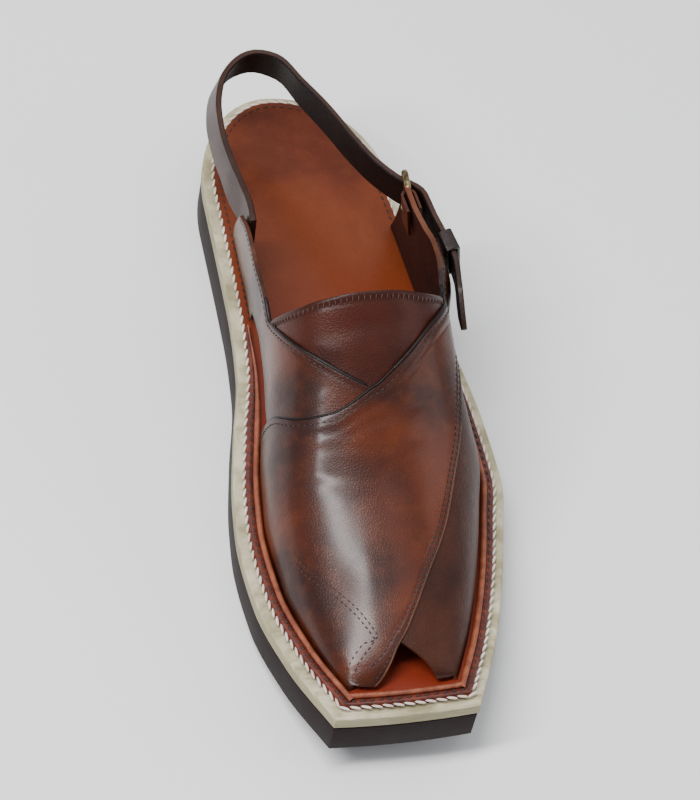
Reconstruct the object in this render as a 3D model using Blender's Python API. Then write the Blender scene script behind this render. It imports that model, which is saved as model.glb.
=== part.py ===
"""Peshawari chappal for the left foot: a crossed-panel leather upper on a layered sole, with a buckled heel strap.

Toe towards -Y, heel towards +Y, the outer side of the foot towards +X, Z up from the floor.
A share runs along the sole from the heel (0) to the toe (1). An arch angle runs over the foot from the
outer side's foot line (0 degrees) across the crest (90) to the inner side's foot line (180).
"""

import math

import bmesh
import bpy
import numpy as np
from mathutils import Matrix, Vector

# Main sizes, in metres
LENGTH = 0.298
BALL_WIDTH = 0.105
INSTEP_HEIGHT = 0.078
HEEL_ARC_SHARE = 0.165
HEEL_APEX_X = -0.0018
TOE_BOW = 0.0012

# Sole layers
SEAT_GAP = 0.0003
OUTSOLE_HEEL = 0.0195
OUTSOLE_BALL = 0.015
OUTSOLE_DRAFT = 0.0008
OUTSOLE_EDGE = 0.0006
MIDSOLE_THICKNESS = 0.0062
MIDSOLE_EDGE = 0.0007
INSOLE_THICKNESS = 0.002
INSOLE_INSET = 0.0045
INSOLE_EDGE = 0.0004
TOE_SPRING = 0.0132
SPRING_START = 0.70
SPRING_POWER = 1.6

# Welt strip round the foot of the upper
WELT_START = 0.39
WELT_FLAT = 0.0011
BEAD_HEIGHT = 0.0027
BEAD_SHARE = 0.5
WELT_GAP = 0.0004

# Upper
FRONT_SHARE = 0.9585
TONGUE_LEVELS = (0.0, 0.0014)
UNDER_LEVELS = (0.0005, 0.0021)
OVER_LEVELS = (0.0010, 0.0029)
BULGE_POWER = 0.8
OUTER_BULGE_TOP = 47
SLOPE_STEP = 0.002

# Heel strap and its fittings
STRAP_WIDTH = 0.017
STRAP_THICKNESS = 0.0024
STRAP_EDGE = 0.0005
STRAP_STEP = 0.003
STRAP_PLAY = 0.0007
SEWN_PLAY = 0.0012
WIRE_PLAY = 0.0005
STRAP_TAPER_POWER = 1.5

# Buckle, its leather fold and the keeper. The front bar is held by the fold, the rear bar carries the prong
BUCKLE_SHARE = 0.308
BUCKLE_HEIGHT = 0.0367
WIRE_RADIUS = 0.0014
WIRE_SIDES = 2
FRAME_HEIGHT = 0.0210
FRAME_LENGTH = 0.0105
FRAME_LIFT = 0.0015
FRAME_CORNER = 0.0028
CORNER_STEPS = 4
PRONG_RADIUS = 0.0008
PRONG_HOOK_START = 60
PRONG_OVERHANG = 0.0016
HOOK_STEPS = 14
FOLD_PLAY = 0.0005
FOLD_THICKNESS = 0.0012
FOLD_LENGTH = 0.0075
FOLD_HEIGHT = 0.0160
FOLD_STEPS = 8
NOTCH_MARGIN = 0.0012
KEEPER_WIDTH = 0.009
KEEPER_THICKNESS = 0.0012
KEEPER_PLAY = 0.0005
KEEPER_CORNER = 0.0009
CUTTER_REACH = 0.012

# Sole outline, as shares of the ball width
OUTLINE = (
    # share, inner half width, outer half width
    (0.165, 0.340, 0.394),
    (0.250, 0.340, 0.424),
    (0.350, 0.342, 0.450),
    (0.450, 0.360, 0.478),
    (0.550, 0.421, 0.516),
    (0.650, 0.472, 0.530),
    (0.720, 0.487, 0.492),
    (0.800, 0.476, 0.434),
    (0.900, 0.415, 0.337),
    (1.000, 0.309, 0.207),
)

# How far the foot of the upper stands in from the sole's edge, in metres
FOOT_INSET = (
    # share, inner side, outer side
    (0.20, 0.0062, 0.0065),
    (0.38, 0.0062, 0.0065),
    (0.46, 0.0078, 0.0082),
    (0.54, 0.0100, 0.0100),
    (1.00, 0.0100, 0.0100),
)

# Arch of the upper. Height is a share of the instep height, crest and bulges are shares of the ball width,
# and a fullness of 2 is an ellipse
ARCH = (
    # share, height, crest, inner fullness, outer fullness, inner bulge, outer bulge
    (0.20, 1.100, 0.000, 2.3, 2.0, 0.076, -0.015),
    (0.31, 1.089, 0.000, 2.4, 2.0, 0.076, -0.010),
    (0.34, 1.084, 0.000, 2.5, 2.0, 0.076, -0.006),
    (0.37, 1.077, 0.000, 2.5, 2.0, 0.075, 0.016),
    (0.40, 1.069, 0.000, 2.5, 2.1, 0.074, 0.034),
    (0.43, 1.052, 0.000, 2.5, 2.2, 0.070, 0.034),
    (0.46, 1.026, 0.000, 2.5, 2.2, 0.066, 0.012),
    (0.49, 0.990, -0.005, 2.4, 2.3, 0.057, -0.024),
    (0.52, 0.942, -0.010, 2.4, 2.4, 0.048, -0.042),
    (0.56, 0.840, -0.015, 2.4, 2.4, 0.036, -0.034),
    (0.60, 0.730, -0.019, 2.3, 2.4, 0.024, -0.016),
    (0.70, 0.500, -0.029, 2.3, 2.3, 0.010, 0.000),
    (0.80, 0.327, -0.038, 2.2, 2.2, 0.000, 0.000),
    (0.90, 0.167, -0.057, 2.1, 2.1, 0.000, 0.000),
    (0.93, 0.109, -0.067, 2.0, 2.0, 0.000, 0.000),
    (0.945, 0.070, -0.067, 2.0, 2.0, 0.000, 0.000),
    (0.9585, 0.008, -0.067, 2.0, 2.0, 0.000, 0.000),
)

# Over panel: vamp from the inner side of the toe across to the outer wing that holds the buckle
OVER_PANEL = (
    # rear share, rear angle, front share, front angle
    (0.300, 34, 0.243, 0),
    (0.340, 35, 0.315, 0),
    (0.390, 35, 0.380, 0),
    (0.440, 36, 0.435, 0),
    (0.475, 36, 0.475, 6),
    (0.500, 40, 0.515, 22),
    (0.525, 49, 0.560, 36),
    (0.554, 62, 0.620, 44),
    (0.583, 74, 0.702, 50),
    (0.606, 84, 0.770, 56),
    (0.620, 90, 0.837, 68),
    (0.634, 100, 0.882, 77),
    (0.640, 110, 0.915, 86),
    (0.637, 121, 0.943, 101),
    (0.629, 132, 0.9585, 126),
    (0.616, 142, 0.9585, 141),
    (0.602, 151, 0.9585, 153),
    (0.592, 160, 0.9585, 164),
    (0.583, 170, 0.9585, 173),
    (0.575, 180, 0.9585, 180),
)

# Under panel, outer part: from the outer side of the toe back under the vamp
UNDER_PANEL = (
    # foot share, foot angle, top share, top angle
    (0.425, 0, 0.445, 16),
    (0.480, 0, 0.495, 27),
    (0.540, 0, 0.550, 43),
    (0.610, 0, 0.610, 52),
    (0.690, 0, 0.685, 57),
    (0.760, 0, 0.750, 63),
    (0.830, 0, 0.810, 72),
    (0.885, 0, 0.852, 80),
    (0.930, 0, 0.880, 88),
    (0.9585, 0, 0.894, 92),
    (0.9585, 26, 0.904, 94),
    (0.9585, 44, 0.911, 93),
)

# Under panel, inner part: from under the vamp back to the inner side of the heel
UNDER_STRAP = (
    # lower share, lower angle, upper share, upper angle
    (0.248, 180, 0.300, 159),
    (0.275, 180, 0.318, 157),
    (0.315, 180, 0.345, 155),
    (0.355, 180, 0.380, 154),
    (0.385, 179, 0.412, 153),
    (0.400, 175, 0.440, 152),
    (0.415, 171, 0.462, 152),
    (0.445, 169, 0.480, 152),
    (0.490, 168, 0.500, 148),
    (0.530, 168, 0.527, 140),
    (0.565, 166, 0.556, 128),
    (0.600, 161, 0.583, 114),
    (0.640, 150, 0.605, 101),
    (0.662, 134, 0.620, 90),
    (0.668, 116, 0.632, 78),
)

# Tongue between the two crossed panels
TONGUE_PANEL = (
    # rear share, rear angle, front share, front angle
    (0.470, 160, 0.478, 162),
    (0.488, 149, 0.510, 158),
    (0.503, 138, 0.545, 146),
    (0.514, 127, 0.578, 132),
    (0.520, 115, 0.607, 118),
    (0.523, 103, 0.632, 104),
    (0.523, 91, 0.648, 90),
    (0.522, 79, 0.632, 76),
    (0.520, 67, 0.600, 63),
    (0.511, 53, 0.560, 49),
    (0.495, 41, 0.530, 37),
    (0.478, 33, 0.505, 29),
)

# Leather panels of the upper: how many steps they are built in
PANEL_STEPS = {
    # name: (steps along, steps across)
    "over": (54, 16),
    "under": (31, 9),
    "strap": (44, 10),
    "tongue": (28, 9),
}

# Sewn end of the strap, flat against the inside of the inner wing
STRAP_SEWN = (
    # share, arch angle
    (0.322, 161.6),
    (0.292, 161.0),
)

# Middle line of the strap round the heel. Lean tips its top edge out from the loop, in degrees
STRAP_PATH = (
    # share, x as a share of the ball width, height above the insole, lean
    (0.256, -0.297, 0.0325, -4),
    (0.215, -0.318, 0.0340, -2),
    (0.170, -0.332, 0.0355, -4),
    (0.128, -0.328, 0.0375, -8),
    (0.085, -0.285, 0.0390, -13),
    (0.058, -0.205, 0.0395, -15),
    (0.052, -0.145, 0.0395, -15),
    (0.062, -0.052, 0.0385, -12),
    (0.104, 0.020, 0.0375, -8),
    (0.150, 0.090, 0.0375, -6),
    (0.202, 0.159, 0.0372, -6),
    (0.245, 0.228, 0.0368, -8),
)

# Front end of the strap, from the buckle along the outside of the outer wing
STRAP_FRONT = (
    # share, distance out from the face of the wing, height above the insole
    (0.330, 0.0052, 0.0372),
    (0.352, 0.0050, 0.0370),
    (0.380, 0.0042, 0.0366),
    (0.415, 0.0035, 0.0359),
    (0.445, 0.0033, 0.0352),
    (0.470, 0.0052, 0.0345),
    (0.495, 0.0068, 0.0337),
)
TIP_TAPER_SHARE = 0.445
TIP_WIDTH = 0.13
KEEPER_SHARE = 0.392


def smooth(rows, column, where):
    """Value of a table's column at a share, along a curve that never overshoots its rows."""
    at = np.array([row[0] for row in rows], float)
    values = np.array([row[column] for row in rows], float)
    return smooth_line(at, values, where)


def smooth_line(at, values, where):
    where = np.clip(np.asarray(where, float), at[0], at[-1])
    step = np.diff(at)
    rise = np.diff(values) / step
    slope = np.zeros(len(at))
    slope[0], slope[-1] = rise[0], rise[-1]
    for i in range(1, len(at) - 1):
        if rise[i - 1] * rise[i] > 0:
            before, after = 2 * step[i] + step[i - 1], step[i] + 2 * step[i - 1]
            slope[i] = (before + after) / (before / rise[i - 1] + after / rise[i])
    k = np.clip(np.searchsorted(at, where, side="right") - 1, 0, len(at) - 2)
    t = (where - at[k]) / step[k]
    start = values[k] * (1 + 2 * t) * (1 - t) ** 2 + slope[k] * step[k] * t * (1 - t) ** 2
    end = values[k + 1] * t * t * (3 - 2 * t) + slope[k + 1] * step[k] * t * t * (t - 1)
    return start + end


def y_of(share):
    return (0.5 - share) * LENGTH


def share_of(y):
    return 0.5 - y / LENGTH


def spring(y):
    """Rise of the sole towards the toe."""
    forward = np.clip((share_of(y) - SPRING_START) / (1 - SPRING_START), 0, None)
    return TOE_SPRING * forward**SPRING_POWER


def outsole_top(y):
    wedge = smooth_line(
        np.array([0.0, 0.35, 0.70, 1.0]),
        np.array([OUTSOLE_HEEL, 0.7 * OUTSOLE_HEEL + 0.3 * OUTSOLE_BALL, OUTSOLE_BALL, OUTSOLE_BALL]),
        share_of(y),
    )
    return spring(y) + wedge


def midsole_top(y):
    return outsole_top(y) + SEAT_GAP + MIDSOLE_THICKNESS


def insole_top(y):
    return midsole_top(y) + SEAT_GAP + INSOLE_THICKNESS


def foot_level(y):
    return insole_top(y) + SEAT_GAP


# Outline of the sole and the rings set in from it

SIDE_SHARES = np.concatenate(
    [
        HEEL_ARC_SHARE * (1 - np.cos(np.linspace(0, math.pi / 2, 10))),
        np.linspace(HEEL_ARC_SHARE, 1.0, 30)[1:],
    ]
)
TOE_STEPS = 5


def edge_side(column, side):
    """Sole edge from the heel's apex to the toe's corner on one side, as rows of x, y."""
    half = BALL_WIDTH * smooth(OUTLINE, column, SIDE_SHARES)
    into = np.clip(1 - SIDE_SHARES / HEEL_ARC_SHARE, 0, 1)
    arc = np.sqrt(1 - into**2)
    x = HEEL_APEX_X + (side * half - HEEL_APEX_X) * arc
    return np.stack([x, y_of(SIDE_SHARES)], axis=1)


def base_ring():
    """Closed edge of the sole: inner side from heel to toe, across the toe, outer side back to the heel."""
    inner, outer = edge_side(1, -1), edge_side(2, 1)
    across = np.linspace(0, 1, TOE_STEPS + 1)[1:-1]
    toe = inner[-1] + (outer[-1] - inner[-1]) * across[:, None]
    toe[:, 1] -= TOE_BOW * 4 * across * (1 - across)
    return np.concatenate([inner, toe, outer[:0:-1]])


def ring(inset):
    """The sole's edge moved inwards; inset is one distance or one per point of the edge."""
    points = base_ring()
    along = np.roll(points, -1, axis=0) - points
    along /= np.linalg.norm(along, axis=1)[:, None]
    normal = np.stack([-along[:, 1], along[:, 0]], axis=1)
    before = np.roll(normal, 1, axis=0)
    mitre = (normal + before) / (1 + (normal * before).sum(axis=1))[:, None]
    return points + mitre * np.reshape(inset, (-1, 1))


def ring_parts():
    """Indices into a ring: inner side, toe front, outer side, each from heel to toe or inner to outer."""
    count = len(SIDE_SHARES)
    total = 2 * count + TOE_STEPS - 2
    inner = list(range(count))
    toe = list(range(count, count + TOE_STEPS - 1))
    outer = [0] + list(range(total - 1, count + TOE_STEPS - 2, -1))
    return inner, toe, outer


def foot_inset_ring():
    """Inset of the upper's foot at every point of the ring."""
    shares = share_of(base_ring()[:, 1])
    inner, toe, outer = ring_parts()
    inset = smooth(FOOT_INSET, 1, shares)
    inset[outer] = smooth(FOOT_INSET, 2, shares[outer])
    inset[toe] = FOOT_INSET[-1][1]
    return inset


# Mesh helpers

def material(name, colour, roughness, metallic=0.0):
    made = bpy.data.materials.new(name)
    made.use_nodes = True
    shader = made.node_tree.nodes["Principled BSDF"]
    shader.inputs["Base Color"].default_value = (*colour, 1.0)
    shader.inputs["Roughness"].default_value = roughness
    shader.inputs["Metallic"].default_value = metallic
    made.diffuse_color = (*colour, 1.0)
    return made


def add_object(name, mesh, colour, collection, smooth_angle=None):
    thing = bpy.data.objects.new(name, mesh)
    collection.objects.link(thing)
    if colour:
        mesh.materials.append(colour)
    if smooth_angle is not None:
        for face in mesh.polygons:
            face.use_smooth = True
        mesh.set_sharp_from_angle(angle=math.radians(smooth_angle))
    return thing


def hide(helper):
    helper.hide_render = True
    helper.display_type = "WIRE"


def cut(thing, name, operation, other):
    """Joins another solid to this one or cuts it away."""
    step = thing.modifiers.new(name, "BOOLEAN")
    step.operation = operation
    step.solver = "EXACT"
    step.object = other


def wire(name, points, radius, colour, collection, closed=False):
    """Round wire along points."""
    line = bpy.data.curves.new(name, "CURVE")
    line.dimensions = "3D"
    line.bevel_depth = radius
    line.bevel_resolution = WIRE_SIDES
    line.use_fill_caps = True
    spline = line.splines.new("POLY")
    spline.points.add(len(points) - 1)
    for place, point in zip(spline.points, points):
        place.co = (*[float(c) for c in point], 1.0)
        place.radius = 1.0
    spline.use_cyclic_u = closed
    spline.use_smooth = True
    thing = bpy.data.objects.new(name, line)
    collection.objects.link(thing)
    line.materials.append(colour)
    return thing


def mesh_of(name, points, faces):
    mesh = bpy.data.meshes.new(name)
    mesh.from_pydata([tuple(float(c) for c in p) for p in points], [], faces)
    build = bmesh.new()
    build.from_mesh(mesh)
    bmesh.ops.recalc_face_normals(build, faces=build.faces)
    bmesh.ops.triangulate(build, faces=[f for f in build.faces if len(f.verts) > 4])
    build.to_mesh(mesh)
    build.free()
    return mesh


def stack_of_rings(name, rings, levels):
    """Closed solid through matching rings, bottom to top, with ladder caps that follow the toe spring."""
    count = len(rings[0])
    points, faces = [], []
    for outline, level in zip(rings, levels):
        points += [(x, y, z) for (x, y), z in zip(outline, level(outline[:, 1]))]
    for layer in range(len(rings) - 1):
        low, high = layer * count, (layer + 1) * count
        for i in range(count):
            j = (i + 1) % count
            faces.append((low + i, low + j, high + j, high + i))
    inner, toe, outer = ring_parts()
    for start, flip in ((0, True), ((len(rings) - 1) * count, False)):
        cap = [(inner[0], inner[1], outer[1])]
        cap += [(inner[i], inner[i + 1], outer[i + 1], outer[i]) for i in range(1, len(inner) - 1)]
        cap += [(inner[-1], *toe, outer[-1])]
        for loop in cap:
            loop = [start + i for i in loop]
            faces.append(loop[::-1] if flip else loop)
    return mesh_of(name, points, faces)


def loft(name, sections, closed=False):
    """Tube through sections of equal point count, with capped ends or closed on itself."""
    size = len(sections[0])
    points = [p for section in sections for p in section]
    faces = []
    last = len(sections) if closed else len(sections) - 1
    for i in range(last):
        a, b = i * size, ((i + 1) % len(sections)) * size
        for j in range(size):
            k = (j + 1) % size
            faces.append((a + j, a + k, b + k, b + j))
    if not closed:
        faces.append(tuple(range(size)))
        faces.append(tuple(range((len(sections) - 1) * size, len(sections) * size)))
    return mesh_of(name, points, faces)


# Sole

def build_outsole(colour, collection):
    lift = lambda height: lambda y: spring(y) + height
    rings = [
        ring(OUTSOLE_DRAFT + OUTSOLE_EDGE),
        ring(OUTSOLE_DRAFT),
        ring(0.0),
        ring(OUTSOLE_EDGE / 2),
    ]
    levels = [
        lift(0.0),
        lift(OUTSOLE_EDGE),
        lambda y: outsole_top(y) - OUTSOLE_EDGE,
        outsole_top,
    ]
    return add_object("outsole", stack_of_rings("outsole", rings, levels), colour, collection, 40)


def layer_solid(name, inset, edge, bottom, thickness, colour, collection):
    """One flat layer of the sole with eased edges."""
    rings = [ring(inset + edge), ring(inset), ring(inset), ring(inset + edge)]
    levels = [
        bottom,
        lambda y: bottom(y) + edge,
        lambda y: bottom(y) + thickness - edge,
        lambda y: bottom(y) + thickness,
    ]
    return add_object(name, stack_of_rings(name, rings, levels), colour, collection, 40)


def build_midsole(colour, collection):
    bottom = lambda y: outsole_top(y) + SEAT_GAP
    return layer_solid("midsole", 0.0, MIDSOLE_EDGE, bottom, MIDSOLE_THICKNESS, colour, collection)


def build_insole(colour, collection):
    bottom = lambda y: midsole_top(y) + SEAT_GAP
    return layer_solid("insole", INSOLE_INSET, INSOLE_EDGE, bottom, INSOLE_THICKNESS, colour, collection)


def welt_profile():
    """Section of the welt: share of its width from the edge, and height; a flat margin and then a bead."""
    flat = 1 - BEAD_SHARE
    bead = [
        (flat + BEAD_SHARE * (1 - math.cos(a)) / 2, WELT_FLAT + (BEAD_HEIGHT - WELT_FLAT) * math.sin(a))
        for a in np.linspace(0, math.pi, 7)
    ]
    return [(0.0, 0.0), (0.0, WELT_FLAT * 0.7), (0.06, WELT_FLAT)] + bead[:-1] + [(1.0, WELT_FLAT), (1.0, 0.0)]


def build_welt(colour, collection):
    inner, toe, outer = ring_parts()
    order = inner + toe + outer[:0:-1]
    shares = share_of(base_ring()[:, 1])
    order = [i for i in order if shares[i] >= WELT_START]
    outside = INSOLE_INSET + SEAT_GAP
    width = foot_inset_ring() - WELT_GAP - outside
    sections = []
    for across, height in welt_profile():
        line = ring(outside + width * across)[order]
        sections.append([(x, y, foot_level(y) + height) for x, y in line])
    sections = [list(section) for section in zip(*sections)]
    return add_object("welt", loft("welt", sections), colour, collection, 50)


# Upper

FOOT_RING = ring(foot_inset_ring() + OVER_LEVELS[1])


def foot_x(y, outer_side):
    inner, toe, outer = ring_parts()
    line = FOOT_RING[outer if outer_side else inner]
    order = np.argsort(line[:, 1])
    return np.interp(y, line[order, 1], line[order, 0])


def last_point(share, degrees):
    """Point of the last's surface under the upper, at a share of the length and an arch angle."""
    share, degrees = np.broadcast_arrays(np.asarray(share, float), np.asarray(degrees, float))
    y = y_of(share)
    angle = np.radians(degrees)
    cosine, sine = np.cos(angle), np.clip(np.sin(angle), 0, 1)
    height = INSTEP_HEIGHT * smooth(ARCH, 1, share)
    crest = BALL_WIDTH * smooth(ARCH, 2, share)
    outer_side = cosine > 0
    fullness = np.where(outer_side, smooth(ARCH, 4, share), smooth(ARCH, 3, share))
    reach = np.where(outer_side, foot_x(y, True) - crest, crest - foot_x(y, False))
    inner_bulge = smooth(ARCH, 5, share) * np.abs(np.sin(2 * angle)) ** BULGE_POWER
    low = np.clip(degrees / OUTER_BULGE_TOP, 0, 1)
    outer_bulge = smooth(ARCH, 6, share) * np.sin(math.pi * low) ** 2
    bulge = BALL_WIDTH * np.where(outer_side, outer_bulge, -inner_bulge)
    x = crest + np.sign(cosine) * reach * np.abs(cosine) ** (2 / fullness) + bulge
    z = foot_level(y) + height * sine ** (2 / fullness)
    return np.stack([x, y, z], axis=-1)


def last_normal(share, degrees):
    """Outward direction of the last's surface."""
    turn = np.degrees(SLOPE_STEP)
    low = np.clip(degrees - turn, 0, 180)
    high = np.clip(degrees + turn, 0, 180)
    around = last_point(share, high) - last_point(share, low)
    back = np.clip(share - SLOPE_STEP, 0, FRONT_SHARE)
    ahead = np.clip(share + SLOPE_STEP, 0, FRONT_SHARE)
    along = last_point(ahead, degrees) - last_point(back, degrees)
    normal = np.cross(around, along)
    return normal / np.linalg.norm(normal, axis=-1)[..., None]


def upper_point(share, degrees, out):
    """Point at a distance out from the last; nothing reaches below the insole."""
    share, degrees = np.broadcast_arrays(np.asarray(share, float), np.asarray(degrees, float))
    point = last_point(share, degrees) + out * last_normal(share, degrees)
    at_foot = (degrees <= 0) | (degrees >= 180)
    floor = foot_level(point[..., 1])
    point[..., 2] = np.where(at_foot, floor, np.maximum(point[..., 2], floor))
    return point


def panel_grid(rows, columns, count):
    """Shares and angles of a panel ruled between its two long edges."""
    table = np.array(rows, float)
    at = np.arange(len(rows), dtype=float)
    where = np.linspace(0, len(rows) - 1, columns)
    first_share, first_angle, second_share, second_angle = (
        smooth_line(at, table[:, i], where)[:, None] for i in range(4)
    )
    across = np.linspace(0, 1, count)[None, :]
    share = first_share + (second_share - first_share) * across
    angle = first_angle + (second_angle - first_angle) * across
    return share, angle


def panel_mesh(name, rows, levels, columns, count):
    """Leather panel between two distances from the last."""
    share, angle = panel_grid(rows, columns, count)
    skins = [upper_point(share, angle, level) for level in levels]
    points = np.concatenate([skin.reshape(-1, 3) for skin in skins])
    size = columns * count
    at = lambda skin, i, j: skin * size + i * count + j
    faces = []
    for i in range(columns - 1):
        for j in range(count - 1):
            faces.append((at(1, i, j), at(1, i, j + 1), at(1, i + 1, j + 1), at(1, i + 1, j)))
            faces.append((at(0, i, j), at(0, i + 1, j), at(0, i + 1, j + 1), at(0, i, j + 1)))
        for j in (0, count - 1):
            faces.append((at(0, i, j), at(0, i + 1, j), at(1, i + 1, j), at(1, i, j)))
    for j in range(count - 1):
        for i in (0, columns - 1):
            faces.append((at(0, i, j), at(0, i, j + 1), at(1, i, j + 1), at(1, i, j)))
    return mesh_of(name, points, faces)


def build_upper(colour, collection, helpers):
    """Over panel, with the under panel, its inner strap and the tongue joined where they cross."""
    over = panel_mesh("upper", OVER_PANEL, OVER_LEVELS, *PANEL_STEPS["over"])
    upper = add_object("upper", over, colour, collection, 40)
    others = (
        ("under", UNDER_PANEL, UNDER_LEVELS),
        ("strap", UNDER_STRAP, UNDER_LEVELS),
        ("tongue", TONGUE_PANEL, TONGUE_LEVELS),
    )
    for name, rows, levels in others:
        panel = panel_mesh(name + "_panel", rows, levels, *PANEL_STEPS[name])
        other = add_object(name + "_panel", panel, None, helpers, 40)
        hide(other)
        cut(upper, name, "UNION", other)
    notch = buckle_notch(helpers)
    cut(upper, "buckle notch", "DIFFERENCE", notch)
    return upper


# Buckle's own axes: rearwards along the wing, up along its face, out from it

def wing_degrees(share, height):
    rise = height / (INSTEP_HEIGHT * smooth(ARCH, 1, share))
    return np.degrees(np.arcsin(np.clip(rise, 0, 1) ** (smooth(ARCH, 4, share) / 2)))


def wing_axes(share, height):
    """Rearward, upward and outward directions on the outer wing's face."""
    out = last_normal(share, wing_degrees(share, height))
    back = np.cross([0.0, 0.0, 1.0], out)
    back /= np.linalg.norm(back)
    return back, np.cross(out, back), out


def buckle_point(back, up, out):
    """Point at distances from the middle of the buckle's front bar, which lies in the wing's thickness."""
    middle = sum(OVER_LEVELS) / 2
    start = upper_point(BUCKLE_SHARE, wing_degrees(BUCKLE_SHARE, BUCKLE_HEIGHT), middle)
    axes = wing_axes(BUCKLE_SHARE, BUCKLE_HEIGHT)
    return start + back * axes[0] + up * axes[1] + out * axes[2]


def buckle_box(name, low, high, helpers):
    """Helper box in the buckle's axes."""
    build = bmesh.new()
    bmesh.ops.create_cube(build, size=1.0)
    for vertex in build.verts:
        place = [a + (c + 0.5) * (b - a) for a, b, c in zip(low, high, vertex.co)]
        vertex.co = buckle_point(*place)
    build.normal_update()
    bmesh.ops.recalc_face_normals(build, faces=build.faces)
    mesh = bpy.data.meshes.new(name)
    build.to_mesh(mesh)
    build.free()
    box = add_object(name, mesh, None, helpers)
    hide(box)
    return box


def hook_radius():
    return WIRE_RADIUS + WIRE_PLAY + PRONG_RADIUS


def buckle_notch(helpers):
    """Room for the frame behind the end of the outer wing."""
    front = -(hook_radius() + PRONG_RADIUS + SEAT_GAP)
    low = (front, -(FRAME_HEIGHT / 2 + WIRE_RADIUS + NOTCH_MARGIN), -CUTTER_REACH)
    high = (2 * CUTTER_REACH, 2 * CUTTER_REACH, CUTTER_REACH)
    return buckle_box("buckle_notch", low, high, helpers)


def frame_outline():
    """Rounded rectangle of the frame: distances back from the front bar and up from the middle."""
    half, r = FRAME_HEIGHT / 2, FRAME_CORNER
    corners = (
        (FRAME_LENGTH - r, half - r, 0),
        (r, half - r, 90),
        (r, r - half, 180),
        (FRAME_LENGTH - r, r - half, 270),
    )
    line = []
    for back, up, start in corners:
        for angle in np.radians(np.linspace(start, start + 90, CORNER_STEPS + 1)):
            line.append((back + r * math.cos(angle), up + r * math.sin(angle)))
    return line


def build_buckle_frame(colour, collection):
    lift = FRAME_LIFT / FRAME_LENGTH
    points = [buckle_point(back, up, lift * back) for back, up in frame_outline()]
    return wire("buckle_frame", points, WIRE_RADIUS, colour, collection, closed=True)


def prong_line():
    """Prong in the buckle's axes: back and out. It hooks round the front bar and rests over the rear bar."""
    radius = hook_radius()
    reach = math.hypot(FRAME_LENGTH, FRAME_LIFT)
    heading = math.atan2(FRAME_LIFT, FRAME_LENGTH) + math.asin(2 * radius / reach)
    leave = heading - math.pi / 2 + 2 * math.pi
    turn = np.linspace(math.radians(PRONG_HOOK_START), leave, HOOK_STEPS)
    hook = [(radius * math.cos(a), radius * math.sin(a)) for a in turn]
    length = math.sqrt(reach**2 - (2 * radius) ** 2) + PRONG_OVERHANG
    tip = (hook[-1][0] + length * math.cos(heading), hook[-1][1] + length * math.sin(heading))
    return hook, tip


def build_buckle_prong(colour, collection):
    hook, tip = prong_line()
    points = [buckle_point(back, 0.0, out) for back, out in hook + [tip]]
    return wire("buckle_prong", points, PRONG_RADIUS, colour, collection)


def build_buckle_fold(colour, collection, helpers):
    """Leather fold round the front bar, with a leaf on each side of the wing and a slot for the prong."""
    inner = WIRE_RADIUS + FOLD_PLAY
    outer = inner + FOLD_THICKNESS
    bend = np.linspace(math.pi / 2, -math.pi / 2, FOLD_STEPS + 1)
    outside = [(-FOLD_LENGTH, outer)] + [(outer * math.cos(a), outer * math.sin(a)) for a in bend]
    outside += [(-FOLD_LENGTH, -outer), (-FOLD_LENGTH, -inner)]
    inside = [(inner * math.cos(a), inner * math.sin(a)) for a in bend[::-1]] + [(-FOLD_LENGTH, inner)]
    sections = []
    for up in (-FOLD_HEIGHT / 2, FOLD_HEIGHT / 2):
        sections.append([buckle_point(back, up, out) for back, out in outside + inside])
    fold = add_object("buckle_fold", loft("buckle_fold", sections), colour, collection, 35)
    reach = hook_radius() + PRONG_RADIUS + SEAT_GAP
    half = PRONG_RADIUS + SEAT_GAP
    slot = buckle_box("prong_slot", (-reach, -half, -reach), (reach, half, reach), helpers)
    cut(fold, "prong slot", "DIFFERENCE", slot)
    return fold


# Heel strap

def strap_line():
    """Middle points of the strap from its sewn end round the heel to its tip, with its widthwise direction."""
    middles, wides, shares = [], [], []
    inside = UNDER_LEVELS[0] - SEWN_PLAY - STRAP_THICKNESS / 2
    for share, degrees in STRAP_SEWN:
        middles.append(upper_point(share, degrees, inside))
        out = last_normal(share, degrees)
        wides.append(np.cross(np.cross(out, [0.0, 0.0, 1.0]), out))
        shares.append(share)
    path = [(x * BALL_WIDTH, y_of(share), foot_level(y_of(share)) + height) for share, x, height, _ in STRAP_PATH]
    path = np.array(path, float)
    ways = np.gradient(path, axis=0)
    for (share, _, _, lean), middle, way in zip(STRAP_PATH, path, ways):
        out = np.cross([0.0, 0.0, 1.0], way)
        out /= np.linalg.norm(out)
        tip = math.radians(lean)
        middles.append(middle)
        wides.append(np.array([0.0, 0.0, math.cos(tip)]) + math.sin(tip) * out)
        shares.append(share)
    half = STRAP_THICKNESS / 2 + SEAT_GAP + STRAP_PLAY
    up = wing_axes(BUCKLE_SHARE, BUCKLE_HEIGHT)[1]
    middles.append(buckle_point(FRAME_LENGTH, 0.0, FRAME_LIFT - WIRE_RADIUS - half))
    middles.append(buckle_point(0.0, 0.0, hook_radius() + PRONG_RADIUS + half))
    wides += [up, up]
    shares += [BUCKLE_SHARE - FRAME_LENGTH / LENGTH, BUCKLE_SHARE]
    for share, out, height in STRAP_FRONT:
        axes = wing_axes(share, height)
        face = upper_point(share, wing_degrees(share, height), OVER_LEVELS[1])
        middles.append(face + out * axes[2])
        wides.append(axes[1])
        shares.append(share)
    return np.array(middles), np.array(wides), np.array(shares)


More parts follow.
